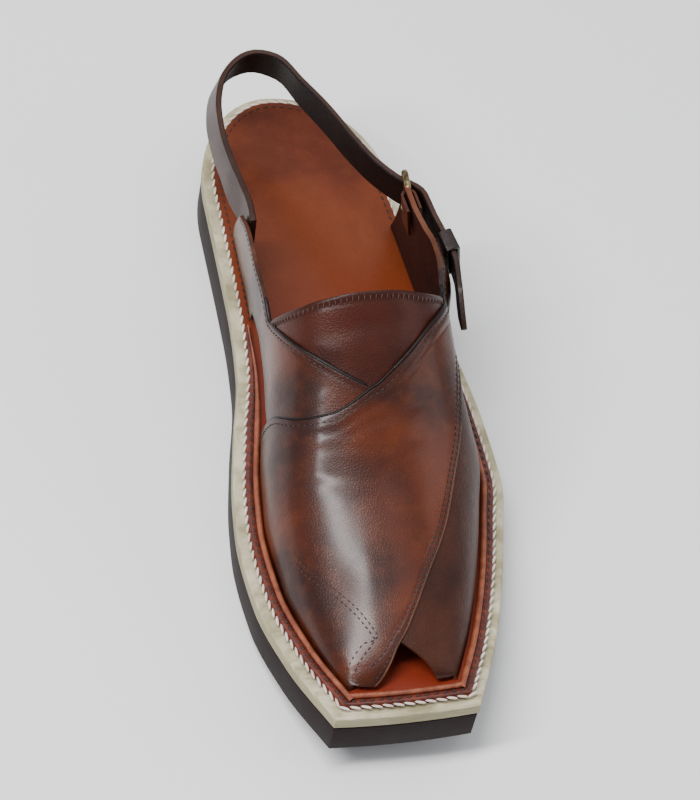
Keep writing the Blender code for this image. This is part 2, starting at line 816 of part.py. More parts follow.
def catmull(at, values, where):
    """Smooth curve through values, for lines that turn back."""
    slope = np.gradient(values, at)
    k = np.clip(np.searchsorted(at, where, side="right") - 1, 0, len(at) - 2)
    step = at[k + 1] - at[k]
    t = (where - at[k]) / step
    start = values[k] * (1 + 2 * t) * (1 - t) ** 2 + slope[k] * step * t * (1 - t) ** 2
    end = values[k + 1] * t * t * (3 - 2 * t) + slope[k + 1] * step * t * t * (t - 1)
    return start + end


def unit(rows):
    return rows / np.linalg.norm(rows, axis=1)[:, None]


def strap_frames(where=None):
    """Middle, widthwise, outward and forward directions and width of the strap, at even steps or given ones."""
    middles, wides, shares = strap_line()
    gaps = np.linalg.norm(np.diff(middles, axis=0), axis=1)
    at = np.concatenate([[0.0], np.cumsum(gaps)])
    if where is None:
        where = np.linspace(0, at[-1], int(at[-1] / STRAP_STEP) + 1)
    else:
        where = np.interp(where, shares[-len(STRAP_FRONT) :], at[-len(STRAP_FRONT) :])
    line = lambda spot: np.stack([catmull(at, middles[:, i], spot) for i in range(3)], axis=1)
    ahead = np.clip(where + SEAT_GAP, 0, at[-1])
    behind = np.clip(where - SEAT_GAP, 0, at[-1])
    along = unit(line(ahead) - line(behind))
    wide = np.stack([catmull(at, wides[:, i], where) for i in range(3)], axis=1)
    wide -= (wide * along).sum(axis=1)[:, None] * along
    wide = unit(wide)
    thick = np.cross(wide, along)
    taper_from = at[list(shares).index(TIP_TAPER_SHARE)]
    into = np.clip((where - taper_from) / (at[-1] - taper_from), 0, 1)
    width = STRAP_WIDTH * (1 - (1 - TIP_WIDTH) * into**STRAP_TAPER_POWER)
    return line(where), wide, thick, along, width


def strap_section(middle, wide, thick, width, depth):
    """Flat band section with eased long edges."""
    half, deep, ease = width / 2, depth / 2, STRAP_EDGE
    corners = (
        (half - ease, deep),
        (half, deep - ease),
        (half, ease - deep),
        (half - ease, -deep),
        (ease - half, -deep),
        (-half, ease - deep),
        (-half, deep - ease),
        (ease - half, deep),
    )
    return [tuple(middle + a * wide + b * thick) for a, b in corners]


def prong_hole(helpers):
    """Helper cylinder that clears the prong's way through the strap."""
    hook, tip = prong_line()
    start, end = Vector(buckle_point(hook[-1][0], 0.0, hook[-1][1])), Vector(buckle_point(tip[0], 0.0, tip[1]))
    build = bmesh.new()
    radius = PRONG_RADIUS + SEAT_GAP
    depth = (end - start).length
    turn = (end - start).to_track_quat("Z", "Y").to_matrix().to_4x4()
    place = Matrix.Translation((start + end) / 2) @ turn
    bmesh.ops.create_cone(
        build, cap_ends=True, segments=12, radius1=radius, radius2=radius, depth=depth, matrix=place
    )
    mesh = bpy.data.meshes.new("prong_hole")
    build.to_mesh(mesh)
    build.free()
    hole = add_object("prong_hole", mesh, None, helpers)
    hide(hole)
    return hole


def build_heel_strap(colour, collection, helpers):
    middle, wide, thick, along, width = strap_frames()
    sections = [strap_section(*row, STRAP_THICKNESS) for row in zip(middle, wide, thick, width)]
    strap = add_object("heel_strap", loft("heel_strap", sections), colour, collection, 40)
    cut(strap, "prong hole", "DIFFERENCE", prong_hole(helpers))
    return strap


def build_strap_keeper(colour, collection):
    """Leather loop round the strap in front of the buckle."""
    middle, wide, thick, along, width = (row[0] for row in strap_frames(np.array([KEEPER_SHARE])))
    half = width / 2 + KEEPER_PLAY
    deep = STRAP_THICKNESS / 2 + KEEPER_PLAY
    sections = []
    for side, face, start in ((1, 1, 0), (-1, 1, 90), (-1, -1, 180), (1, -1, 270)):
        for angle in np.radians((start, start + 45, start + 90)):
            round_off = np.array([math.cos(angle), math.sin(angle)])
            inner = np.array([side * half, face * deep])
            outer = inner + round_off * KEEPER_THICKNESS
            edges = ((inner, -1), (outer, -1), (outer, 1), (inner, 1))
            section = []
            for (a, b), end in edges:
                section.append(middle + a * wide + b * thick + end * KEEPER_WIDTH / 2 * along)
            sections.append(section)
    return add_object("strap_keeper", loft("strap_keeper", sections, closed=True), colour, collection, 40)


def main():
    for thing in list(bpy.data.objects):
        bpy.data.objects.remove(thing, do_unlink=True)
    scene = bpy.context.scene.collection
    parts = bpy.data.collections.new("peshawari_chappal")
    helpers = bpy.data.collections.new("helpers")
    scene.children.link(parts)
    scene.children.link(helpers)
    rubber = material("outsole_rubber", (0.045, 0.026, 0.022), 0.7)
    cream = material("cream_midsole", (0.52, 0.45, 0.30), 0.6)
    tan = material("insole_leather", (0.21, 0.052, 0.018), 0.5)
    red = material("welt_leather", (0.22, 0.055, 0.022), 0.45)
    brown = material("upper_leather", (0.13, 0.033, 0.014), 0.32)
    dark = material("strap_leather", (0.06, 0.022, 0.014), 0.45)
    brass = material("buckle_brass", (0.30, 0.22, 0.10), 0.4, metallic=1.0)
    steel = material("prong_brass", (0.42, 0.34, 0.18), 0.35, metallic=1.0)
    fold = material("fold_leather", (0.09, 0.028, 0.014), 0.45)
    loop = material("keeper_leather", (0.035, 0.015, 0.014), 0.4)
    build_outsole(rubber, parts)
    build_midsole(cream, parts)
    build_insole(tan, parts)
    build_welt(red, parts)
    build_upper(brown, parts, helpers)
    build_heel_strap(dark, parts, helpers)
    build_buckle_frame(brass, parts)
    build_buckle_prong(steel, parts)
    build_buckle_fold(fold, parts, helpers)
    build_strap_keeper(loop, parts)


main()
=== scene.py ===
"""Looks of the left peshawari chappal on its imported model.

Toe towards -Y, heel towards +Y, outer side of the foot towards +X. Lengths are in metres.
"""

import math

import bmesh
import bpy
import numpy as np
from mathutils import Matrix, Vector


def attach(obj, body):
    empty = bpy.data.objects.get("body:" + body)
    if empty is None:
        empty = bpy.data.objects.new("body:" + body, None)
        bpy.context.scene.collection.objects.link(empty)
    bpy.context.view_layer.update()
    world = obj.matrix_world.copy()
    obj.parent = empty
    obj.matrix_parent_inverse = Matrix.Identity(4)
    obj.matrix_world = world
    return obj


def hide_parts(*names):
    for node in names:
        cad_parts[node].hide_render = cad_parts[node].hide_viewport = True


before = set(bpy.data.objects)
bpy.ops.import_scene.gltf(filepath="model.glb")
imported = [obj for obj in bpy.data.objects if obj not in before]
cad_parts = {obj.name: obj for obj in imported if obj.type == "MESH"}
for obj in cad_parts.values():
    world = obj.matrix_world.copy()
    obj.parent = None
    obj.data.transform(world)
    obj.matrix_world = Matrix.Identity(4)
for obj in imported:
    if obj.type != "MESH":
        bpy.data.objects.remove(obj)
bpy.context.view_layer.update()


# Camera, floor and light
# The shoe stands on a pale studio floor. The camera looks down on it from its inner front side, slightly
# rolled, and a long soft light above the inner side gives the streak along the vamp.

CAMERA_AT = Vector((-0.29070, -0.72509, 1.07431))
CAMERA_AIM = Vector((0.00475, -0.00061, 0.020))
CAMERA_ROLL = 13.3515
CAMERA_LENS = 101.356

camera_data = bpy.data.cameras.new("camera")
camera = bpy.data.objects.new("camera", camera_data)
bpy.context.scene.collection.objects.link(camera)
camera_data.sensor_fit = "VERTICAL"
camera_data.sensor_height = 24.0
camera_data.lens = CAMERA_LENS
camera_data.clip_start = 0.01
towards = (CAMERA_AIM - CAMERA_AT).normalized()
level = towards.cross(Vector((0, 0, 1))).normalized()
upward = level.cross(towards)
turn = math.radians(CAMERA_ROLL)
side = math.cos(turn) * level + math.sin(turn) * upward
top = -math.sin(turn) * level + math.cos(turn) * upward
camera.matrix_world = Matrix.Translation(CAMERA_AT) @ Matrix((side, top, -towards)).transposed().to_4x4()
bpy.context.scene.camera = camera

world = bpy.data.worlds.new("studio")
bpy.context.scene.world = world
world.use_nodes = True
world.node_tree.nodes["Background"].inputs["Color"].default_value = (0.92, 0.95, 1.0, 1.0)
world.node_tree.nodes["Background"].inputs["Strength"].default_value = 0.5


def soft_light(name, place, aim, width, length, power):
    """Rectangular soft light."""
    data = bpy.data.lights.new(name, "AREA")
    data.shape = "RECTANGLE"
    data.size = width
    data.size_y = length
    data.energy = power
    light = bpy.data.objects.new(name, data)
    light.location = place
    light.rotation_euler = (Vector(aim) - Vector(place)).to_track_quat("-Z", "Y").to_euler()
    bpy.context.scene.collection.objects.link(light)


soft_light("key", (-0.56, -0.16, 1.25), (0, 0, 0.03), 0.15, 1.1, 27)
soft_light("overhead", (0.35, 0.5, 1.6), (0, 0, 0.03), 1.6, 1.6, 8)
soft_light("rim", (1.3, -0.5, 0.9), (0, 0, 0.03), 0.9, 0.9, 5)

floor_build = bmesh.new()
bmesh.ops.create_grid(floor_build, x_segments=2, y_segments=2, size=6.0)
floor_mesh = bpy.data.meshes.new("floor")
floor_build.to_mesh(floor_mesh)
floor_build.free()
floor = bpy.data.objects.new("floor", floor_mesh)
bpy.context.scene.collection.objects.link(floor)
paper = bpy.data.materials.new("studio_paper")
paper.use_nodes = True
paper.node_tree.nodes["Principled BSDF"].inputs["Base Color"].default_value = (0.86, 0.86, 0.86, 1.0)
paper.node_tree.nodes["Principled BSDF"].inputs["Roughness"].default_value = 0.9
floor_mesh.materials.append(paper)


# Leather effects
# All the leather here is drum-dyed hide, polished and burnished darker in clouds and at its cut edges.
# Grain is fine pebbling with wrinkles, and colour runs from a near-black brown to an orange tan.

def new_group(name, inputs, outputs):
    """Empty shader group with named sockets."""
    group = bpy.data.node_groups.new(name, "ShaderNodeTree")
    for label, kind, value in inputs:
        socket = group.interface.new_socket(name=label, in_out="INPUT", socket_type=kind)
        socket.default_value = value
    for label, kind in outputs:
        group.interface.new_socket(name=label, in_out="OUTPUT", socket_type=kind)
    nodes = group.nodes
    return group, nodes.new("NodeGroupInput"), nodes.new("NodeGroupOutput")


def math_node(tree, operation, first, second):
    """Math node fed by sockets or numbers."""
    node = tree.nodes.new("ShaderNodeMath")
    node.operation = operation
    for socket, value in zip(node.inputs, (first, second)):
        if isinstance(value, (int, float)):
            socket.default_value = value
        else:
            tree.links.new(value, socket)
    return node.outputs[0]


def noise_node(tree, where, scale, detail, rough=0.55, distortion=0.0):
    """Noise from 0 to 1 at a place, its scale a number or a socket."""
    node = tree.nodes.new("ShaderNodeTexNoise")
    node.inputs["Detail"].default_value = detail
    node.inputs["Roughness"].default_value = rough
    node.inputs["Distortion"].default_value = distortion
    tree.links.new(where, node.inputs["Vector"])
    if isinstance(scale, (int, float)):
        node.inputs["Scale"].default_value = scale
    else:
        tree.links.new(scale, node.inputs["Scale"])
    return node.outputs["Fac"]


def ramp_node(tree, value, low, high):
    """Value from low to high spread over 0 to 1, smoothly."""
    node = tree.nodes.new("ShaderNodeMapRange")
    node.interpolation_type = "SMOOTHSTEP"
    node.inputs["From Min"].default_value = low
    node.inputs["From Max"].default_value = high
    tree.links.new(value, node.inputs["Value"])
    return node.outputs["Result"]


def mix_node(tree, factor, first, second):
    """Colour mix fed by sockets or colours."""
    node = tree.nodes.new("ShaderNodeMix")
    node.data_type = "RGBA"
    if isinstance(factor, (int, float)):
        node.inputs["Factor"].default_value = factor
    else:
        tree.links.new(factor, node.inputs["Factor"])
    for socket, value in ((node.inputs[6], first), (node.inputs[7], second)):
        if isinstance(value, tuple):
            socket.default_value = (*value, 1.0)
        else:
            tree.links.new(value, socket)
    return node.outputs[2]


grain_group, grain_in, grain_out = new_group(
    "leather_grain",
    [("Scale", "NodeSocketFloat", 900.0), ("Wrinkles", "NodeSocketFloat", 0.4)],
    [("Height", "NodeSocketFloat")],
)
grain_place = grain_group.nodes.new("ShaderNodeTexCoord").outputs["Object"]
pebble = grain_group.nodes.new("ShaderNodeTexVoronoi")
pebble.feature = "DISTANCE_TO_EDGE"
grain_group.links.new(grain_place, pebble.inputs["Vector"])
grain_group.links.new(grain_in.outputs["Scale"], pebble.inputs["Scale"])
pebble_height = ramp_node(grain_group, pebble.outputs["Distance"], 0.0, 0.35)
pores = noise_node(grain_group, grain_place, grain_in.outputs["Scale"], 3.0)
folds = noise_node(grain_group, grain_place, 160.0, 5.0, 0.6, 1.2)
fold_height = math_node(grain_group, "MULTIPLY", folds, grain_in.outputs["Wrinkles"])
fine_height = math_node(grain_group, "MULTIPLY", pebble_height, 0.5)
fine_height = math_node(grain_group, "ADD", fine_height, math_node(grain_group, "MULTIPLY", pores, 0.3))
total_height = math_node(grain_group, "ADD", fine_height, fold_height)
grain_group.links.new(total_height, grain_out.inputs["Height"])

burnish_group, burnish_in, burnish_out = new_group(
    "burnished_colour",
    [
        ("Dark", "NodeSocketColor", (0.02, 0.006, 0.004, 1.0)),
        ("Mid", "NodeSocketColor", (0.1, 0.03, 0.01, 1.0)),
        ("Light", "NodeSocketColor", (0.2, 0.07, 0.03, 1.0)),
        ("Edge", "NodeSocketFloat", 0.0),
    ],
    [("Color", "NodeSocketColor"), ("Gloss", "NodeSocketFloat")],
)
burnish_place = burnish_group.nodes.new("ShaderNodeTexCoord").outputs["Object"]
clouds = noise_node(burnish_group, burnish_place, 20.0, 3.0, 0.45, 0.5)
clouds = ramp_node(burnish_group, clouds, 0.36, 0.64)
mottle = noise_node(burnish_group, burnish_place, 150.0, 5.0, 0.65)
mottle = ramp_node(burnish_group, mottle, 0.40, 0.75)
specks = noise_node(burnish_group, burnish_place, 1500.0, 2.0)
specks = ramp_node(burnish_group, specks, 0.35, 0.7)
base = mix_node(burnish_group, clouds, burnish_in.outputs["Dark"], burnish_in.outputs["Mid"])
for mask, strength, label in (
    (mottle, 0.24, "Light"),
    (specks, 0.16, "Dark"),
    (burnish_in.outputs["Edge"], 0.75, "Dark"),
):
    share = math_node(burnish_group, "MULTIPLY", mask, strength)
    base = mix_node(burnish_group, share, base, burnish_in.outputs[label])
burnish_group.links.new(base, burnish_out.inputs["Color"])
gloss = math_node(burnish_group, "ADD", math_node(burnish_group, "MULTIPLY", mottle, 0.5), clouds)
burnish_group.links.new(gloss, burnish_out.inputs["Gloss"])


def new_material(name):
    """Material with its Principled shader."""
    made = bpy.data.materials.new(name)
    made.use_nodes = True
    return made, made.node_tree, made.node_tree.nodes["Principled BSDF"]


def group_node(tree, group, values):
    """Shader group placed in a material, with its inputs set."""
    node = tree.nodes.new("ShaderNodeGroup")
    node.node_tree = group
    for label, value in values.items():
        node.inputs[label].default_value = value
    return node


def bumped(tree, shader, height, depth):
    """Surface relief of a depth in metres."""
    bump = tree.nodes.new("ShaderNodeBump")
    bump.inputs["Distance"].default_value = depth
    tree.links.new(height, bump.inputs["Height"])
    tree.links.new(bump.outputs["Normal"], shader.inputs["Normal"])


def varied_roughness(tree, shader, value, low, high, top=1.0):
    """Roughness from low to high while a value goes from 0 to top."""
    rough = tree.nodes.new("ShaderNodeMapRange")
    rough.inputs["From Max"].default_value = top
    rough.inputs["To Min"].default_value = low
    rough.inputs["To Max"].default_value = high
    tree.links.new(value, rough.inputs["Value"])
    tree.links.new(rough.outputs["Result"], shader.inputs["Roughness"])


def leather(name, colours, roughness, coat, grain, wrinkles, depth, edge=None):
    """Burnished leather. Colours are dark, mid and light; edge names a mesh attribute that darkens."""
    made, tree, shader = new_material(name)
    tones = {label: (*colour, 1.0) for label, colour in zip(("Dark", "Mid", "Light"), colours)}
    burnish = group_node(tree, burnish_group, tones)
    if edge:
        held = tree.nodes.new("ShaderNodeAttribute")
        held.attribute_name = edge
        tree.links.new(held.outputs["Fac"], burnish.inputs["Edge"])
    tree.links.new(burnish.outputs["Color"], shader.inputs["Base Color"])
    varied_roughness(tree, shader, burnish.outputs["Gloss"], roughness + 0.09, roughness - 0.05, 1.5)
    shader.inputs["Specular IOR Level"].default_value = 0.2
    shader.inputs["Coat Weight"].default_value = coat
    shader.inputs["Coat Roughness"].default_value = 0.2
    relief = group_node(tree, grain_group, {"Scale": grain, "Wrinkles": wrinkles})
    bumped(tree, shader, relief.outputs["Height"], depth)
    return made


def finish_piece(name, build, materials, node, angle):
    """Object from a bmesh on the shoe, smooth shaded up to an angle. It may replace a node's solid."""
    mesh = bpy.data.meshes.new(name)
    build.to_mesh(mesh)
    build.free()
    for held in materials:
        mesh.materials.append(held)
    for face in mesh.polygons:
        face.use_smooth = True
    mesh.set_sharp_from_angle(angle=math.radians(angle))
    piece = bpy.data.objects.new(name, mesh)
    bpy.context.scene.collection.objects.link(piece)
    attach(piece, "root")
    if node:
        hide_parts(node)
    return piece


# Sole
# A dark rubber outsole with a low heel wedge, a cream rubber midsole whose rim shows all round and an
# orange-brown leather insole, cemented in a stack and ground to one outline with a squared toe.

LENGTH = 0.298
BALL_WIDTH = 0.105
HEEL_ARC_SHARE = 0.165
HEEL_APEX_X = -0.0018
TOE_BOW = 0.0012
SEAT_GAP = 0.0003
OUTSOLE_HEEL = 0.0195
OUTSOLE_BALL = 0.015
MIDSOLE_THICKNESS = 0.0062
INSOLE_THICKNESS = 0.002
INSOLE_INSET = 0.0045
TOE_SPRING = 0.0132
SPRING_START = 0.70
SPRING_POWER = 1.6
TOE_STEPS = 8
LEVEL_RISE = 0.002
CUTS = np.arange(-0.144, 0.146, 0.006)

OUTLINE = (
    # share, inner half width, outer half width
    (0.165, 0.340, 0.394),
    (0.250, 0.340, 0.424),
    (0.350, 0.342, 0.450),
    (0.450, 0.360, 0.478),
    (0.550, 0.421, 0.516),
    (0.650, 0.472, 0.530),
    (0.720, 0.487, 0.492),
    (0.800, 0.476, 0.434),
    (0.900, 0.415, 0.337),
    (1.000, 0.309, 0.207),
)


def smooth_line(at, values, where):
    """Curve through values that never overshoots them."""
    where = np.clip(np.asarray(where, float), at[0], at[-1])
    step = np.diff(at)
    rise = np.diff(values) / step
    slope = np.zeros(len(at))
    slope[0], slope[-1] = rise[0], rise[-1]
    for i in range(1, len(at) - 1):
        if rise[i - 1] * rise[i] > 0:
            before, after = 2 * step[i] + step[i - 1], step[i] + 2 * step[i - 1]
            slope[i] = (before + after) / (before / rise[i - 1] + after / rise[i])
    k = np.clip(np.searchsorted(at, where, side="right") - 1, 0, len(at) - 2)
    t = (where - at[k]) / step[k]
    start = values[k] * (1 + 2 * t) * (1 - t) ** 2 + slope[k] * step[k] * t * (1 - t) ** 2
    end = values[k + 1] * t * t * (3 - 2 * t) + slope[k + 1] * step[k] * t * t * (t - 1)
    return start + end


def smooth(rows, column, where):
    at = np.array([row[0] for row in rows], float)
    return smooth_line(at, np.array([row[column] for row in rows], float), where)


def y_of(share):
    return (0.5 - share) * LENGTH


def share_of(y):
    return 0.5 - y / LENGTH


def spring(y):
    """Rise of the sole towards the toe."""
    forward = np.clip((share_of(y) - SPRING_START) / (1 - SPRING_START), 0, None)
    return TOE_SPRING * forward**SPRING_POWER


def outsole_top(y):
    wedge = smooth_line(
        np.array([0.0, 0.35, 0.70, 1.0]),
        np.array([OUTSOLE_HEEL, 0.7 * OUTSOLE_HEEL + 0.3 * OUTSOLE_BALL, OUTSOLE_BALL, OUTSOLE_BALL]),
        share_of(y),
    )
    return spring(y) + wedge


def midsole_top(y):
    return outsole_top(y) + SEAT_GAP + MIDSOLE_THICKNESS


def insole_top(y):
    return midsole_top(y) + SEAT_GAP + INSOLE_THICKNESS


def foot_level(y):
    return insole_top(y) + SEAT_GAP


heel_turn = HEEL_ARC_SHARE * (1 - np.cos(np.linspace(0, math.pi / 2, 26)))
SIDE_SHARES = np.concatenate([heel_turn, np.linspace(HEEL_ARC_SHARE, 1.0, 90)[1:]])


def edge_side(column, side):
    """Sole edge from the heel's apex to the toe's corner on one side."""
    half = BALL_WIDTH * smooth(OUTLINE, column, SIDE_SHARES)
    arc = np.sqrt(1 - np.clip(1 - SIDE_SHARES / HEEL_ARC_SHARE, 0, 1) ** 2)
    x = HEEL_APEX_X + (side * half - HEEL_APEX_X) * arc
    return np.stack([x, y_of(SIDE_SHARES)], axis=1)


def base_ring():
    """Closed edge of the sole: inner side, toe, outer side."""
    inner, outer = edge_side(1, -1), edge_side(2, 1)
    across = np.linspace(0, 1, TOE_STEPS + 1)[1:-1]
    toe = inner[-1] + (outer[-1] - inner[-1]) * across[:, None]
    toe[:, 1] -= TOE_BOW * 4 * across * (1 - across)
    return np.concatenate([inner, toe, outer[:0:-1]])


def ring(inset):
    """The sole's edge moved inwards."""
    points = base_ring()
    along = np.roll(points, -1, axis=0) - points
    along /= np.linalg.norm(along, axis=1)[:, None]
    normal = np.stack([-along[:, 1], along[:, 0]], axis=1)
    before = np.roll(normal, 1, axis=0)
    mitre = (normal + before) / (1 + (normal * before).sum(axis=1))[:, None]
    return points + mitre * np.reshape(inset, (-1, 1))


def sole_layer(name, inset, base, thickness, ease, material):
    """Layer of the sole: a flat outline thickened, eased at its rims, cut across and bent to the last."""
    build = bmesh.new()
    outline = [build.verts.new((x, y, 0.0)) for x, y in ring(inset)]
    build.faces.new(outline)
    lifted = bmesh.ops.extrude_face_region(build, geom=build.faces[:])["geom"]
    raised = [v for v in lifted if isinstance(v, bmesh.types.BMVert)]
    bmesh.ops.translate(build, verts=raised, vec=(0, 0, 1.0))
    for vertex in build.verts:
        vertex.co.z *= thickness(vertex.co.y) if callable(thickness) else thickness
    lying = [e for e in build.edges if abs(e.verts[0].co.z - e.verts[1].co.z) < LEVEL_RISE]
    rims = [e for e in lying if len(e.link_faces) == 2 and any(len(f.verts) > 4 for f in e.link_faces)]
    bmesh.ops.bevel(
        build, geom=rims, offset=ease, segments=3, profile=0.5, affect="EDGES", material=-1,
        clamp_overlap=True,
    )
    for cut in CUTS:
        whole_build = build.verts[:] + build.edges[:] + build.faces[:]
        bmesh.ops.bisect_plane(build, geom=whole_build, plane_co=(0, cut, 0), plane_no=(0, 1, 0))
    for vertex in build.verts:
        vertex.co.z += float(base(vertex.co.y))
    build.normal_update()
    bmesh.ops.recalc_face_normals(build, faces=build.faces)
    finish_piece(name, build, [material], name, 50)


rubber_group, rubber_in, rubber_out = new_group(
    "ground_rubber",
    [
        ("Dark", "NodeSocketColor", (0.01, 0.004, 0.003, 1.0)),
        ("Light", "NodeSocketColor", (0.02, 0.008, 0.007, 1.0)),
        ("Stretch", "NodeSocketVector", (1.0, 1.0, 10.0)),
    ],
    [("Color", "NodeSocketColor"), ("Dust", "NodeSocketFloat"), ("Scoring", "NodeSocketFloat")],
)
rubber_place = rubber_group.nodes.new("ShaderNodeTexCoord").outputs["Object"]
stretched = rubber_group.nodes.new("ShaderNodeMapping")
rubber_group.links.new(rubber_place, stretched.inputs["Vector"])
rubber_group.links.new(rubber_in.outputs["Stretch"], stretched.inputs["Scale"])
scoring = noise_node(rubber_group, stretched.outputs["Vector"], 120.0, 4.0, 0.6)
dust = noise_node(rubber_group, rubber_place, 38.0, 5.0, 0.6, 0.4)
scoring_share = math_node(rubber_group, "MULTIPLY", scoring, 0.5)
dust_share = math_node(rubber_group, "MULTIPLY", dust, 0.5)
tone = ramp_node(rubber_group, math_node(rubber_group, "ADD", scoring_share, dust_share), 0.36, 0.66)
worn = mix_node(rubber_group, tone, rubber_in.outputs["Dark"], rubber_in.outputs["Light"])
# Painted shade: faces that stand upright are mixed halfway to the dark colour, so the sides read darker than
# the lit top.
facing = rubber_group.nodes.new("ShaderNodeSeparateXYZ")
rubber_normal = rubber_group.nodes.new("ShaderNodeNewGeometry").outputs["Normal"]
rubber_group.links.new(rubber_normal, facing.inputs[0])
lit_top_share = ramp_node(rubber_group, facing.outputs["Z"], 0.25, 0.85)
shaded_sides = mix_node(rubber_group, 0.55, worn, rubber_in.outputs["Dark"])
rubber_colour = mix_node(rubber_group, lit_top_share, shaded_sides, worn)
for label, socket in (("Color", rubber_colour), ("Dust", dust), ("Scoring", scoring)):
    rubber_group.links.new(socket, rubber_out.inputs[label])


def rubber(name, dark, light, roughness, streaks, depth):
    """Ground rubber edge: fine horizontal scoring and soft dust, with painted shade that darkens its upright
    sides.
    """
    made, tree, shader = new_material(name)
    values = {"Dark": (*dark, 1.0), "Light": (*light, 1.0), "Stretch": (1.0, 1.0, streaks)}
    ground = group_node(tree, rubber_group, values)
    tree.links.new(ground.outputs["Color"], shader.inputs["Base Color"])
    shader.inputs["Specular IOR Level"].default_value = 0.14
    varied_roughness(tree, shader, ground.outputs["Dust"], roughness - 0.08, roughness + 0.12)
    bumped(tree, shader, ground.outputs["Scoring"], depth)
    return made


outsole_rubber = rubber(
    "outsole_rubber", (0.0085, 0.0032, 0.0030), (0.0210, 0.0082, 0.0070), 0.6, 9.0, 0.00012
)
cream_rubber = rubber("cream_rubber", (0.27, 0.235, 0.135), (0.58, 0.52, 0.37), 0.6, 12.0, 0.00008)
insole_leather = leather(
    "insole_leather",
    ((0.085, 0.0140, 0.0040), (0.150, 0.0300, 0.0080), (0.190, 0.045, 0.013)),
    0.46, 0.08, 700.0, 0.25, 0.00008,
)
insole_tree = insole_leather.node_tree
insole_shader = insole_tree.nodes["Principled BSDF"]
plain = insole_shader.inputs["Base Color"].links[0].from_socket
# Painted shade: the insole colour goes darker and redder from the heel seat towards the toe, where the vamp
# covers it.
insole_place = insole_tree.nodes.new("ShaderNodeSeparateXYZ")
insole_object = insole_tree.nodes.new("ShaderNodeTexCoord").outputs["Object"]
insole_tree.links.new(insole_object, insole_place.inputs[0])
towards_toe = math_node(insole_tree, "MULTIPLY", insole_place.outputs["Y"], -1.0)
towards_toe = ramp_node(insole_tree, towards_toe, -0.075, 0.020)
toe_shade = math_node(insole_tree, "MULTIPLY", towards_toe, 0.8)
shaded_towards_toe = mix_node(insole_tree, toe_shade, plain, (0.150, 0.0140, 0.0045))
insole_tree.links.new(shaded_towards_toe, insole_shader.inputs["Base Color"])
sole_layer(
    "outsole", 0.0004, spring, lambda y: outsole_top(y) - spring(y), 0.0008, outsole_rubber
)
sole_layer(
    "midsole", 0.0, lambda y: outsole_top(y) + SEAT_GAP, MIDSOLE_THICKNESS, 0.0009, cream_rubber,
)
sole_layer(
    "insole", INSOLE_INSET, lambda y: midsole_top(y) + SEAT_GAP, INSOLE_THICKNESS, 0.0005, insole_leather,
)


# Welt strip
# A red-brown leather margin with a rolled bead against the foot of the vamp, the bead painted tan as a
# highlight.
# It is sewn through the insole with a row of dark thread, and stops under the wings.

WELT_START = 0.39
WELT_FLAT = 0.0011
BEAD_HEIGHT = 0.0027
BEAD_SHARE = 0.5
WELT_GAP = 0.0004

FOOT_INSET = (
    # share, inner side, outer side
    (0.20, 0.0062, 0.0065),
    (0.38, 0.0062, 0.0065),
    (0.46, 0.0078, 0.0082),
    (0.54, 0.0100, 0.0100),
    (1.00, 0.0100, 0.0100),
)


def side_points():
    """Indices of the ring: inner side, toe front and outer side."""
    count = len(SIDE_SHARES)
    total = 2 * count + TOE_STEPS - 2
    inner = list(range(count))
    toe = list(range(count, count + TOE_STEPS - 1))
    outer = [0] + list(range(total - 1, count + TOE_STEPS - 2, -1))
    return inner, toe, outer


def foot_inset_ring():
    shares = share_of(base_ring()[:, 1])
    inner, toe, outer = side_points()
    inset = smooth(FOOT_INSET, 1, shares)
    inset[outer] = smooth(FOOT_INSET, 2, shares[outer])
    inset[toe] = FOOT_INSET[-1][1]
    return inset


def welt_line(inset, start):
    """Ring from the inner waist round the toe to the outer waist."""
    inner, toe, outer = side_points()
    shares = share_of(base_ring()[:, 1])
    order = [i for i in inner + toe + outer[:0:-1] if shares[i] >= start]
    return ring(inset)[order]


flat = 1 - BEAD_SHARE
bead_turn = np.linspace(0, math.pi, 13)
bead = [
    (flat + BEAD_SHARE * (1 - math.cos(a)) / 2, WELT_FLAT + (BEAD_HEIGHT - WELT_FLAT) * math.sin(a))
    for a in bead_turn
]
welt_profile = [(0.0, 0.0), (0.0, WELT_FLAT * 0.6), (0.04, WELT_FLAT * 0.9), (0.12, WELT_FLAT)]
welt_profile += [(flat * 0.9, WELT_FLAT), (flat, WELT_FLAT * 0.8)] + bead[1:-1]
welt_profile += [(1.0, WELT_FLAT), (1.0, 0.0), (0.5, 0.0), (0.0, 0.0)]
welt_outside = INSOLE_INSET + SEAT_GAP
welt_width = foot_inset_ring() - WELT_GAP - welt_outside
welt_build = bmesh.new()
tan = welt_build.verts.layers.float.new("tan")
welt_count = len(welt_line(0.0, WELT_START))
bmesh.ops.create_grid(welt_build, x_segments=len(welt_profile) - 1, y_segments=welt_count - 1, size=0.5)
welt_build.verts.ensure_lookup_table()
welt_grid = sorted(welt_build.verts, key=lambda v: (round(v.co.x, 4), round(v.co.y, 4)))
for i, (across, height) in enumerate(welt_profile):
    for j, (x, y) in enumerate(welt_line(welt_outside + welt_width * across, WELT_START)):
        vertex = welt_grid[i * welt_count + j]
        vertex.co = (x, y, foot_level(y) + height)
        vertex[tan] = 1.0 if across > flat * 1.02 else 0.0
bmesh.ops.remove_doubles(welt_build, verts=welt_build.verts, dist=1e-6)
bmesh.ops.holes_fill(welt_build, edges=[e for e in welt_build.edges if e.is_boundary])
welt_build.normal_update()
bmesh.ops.recalc_face_normals(welt_build, faces=welt_build.faces)

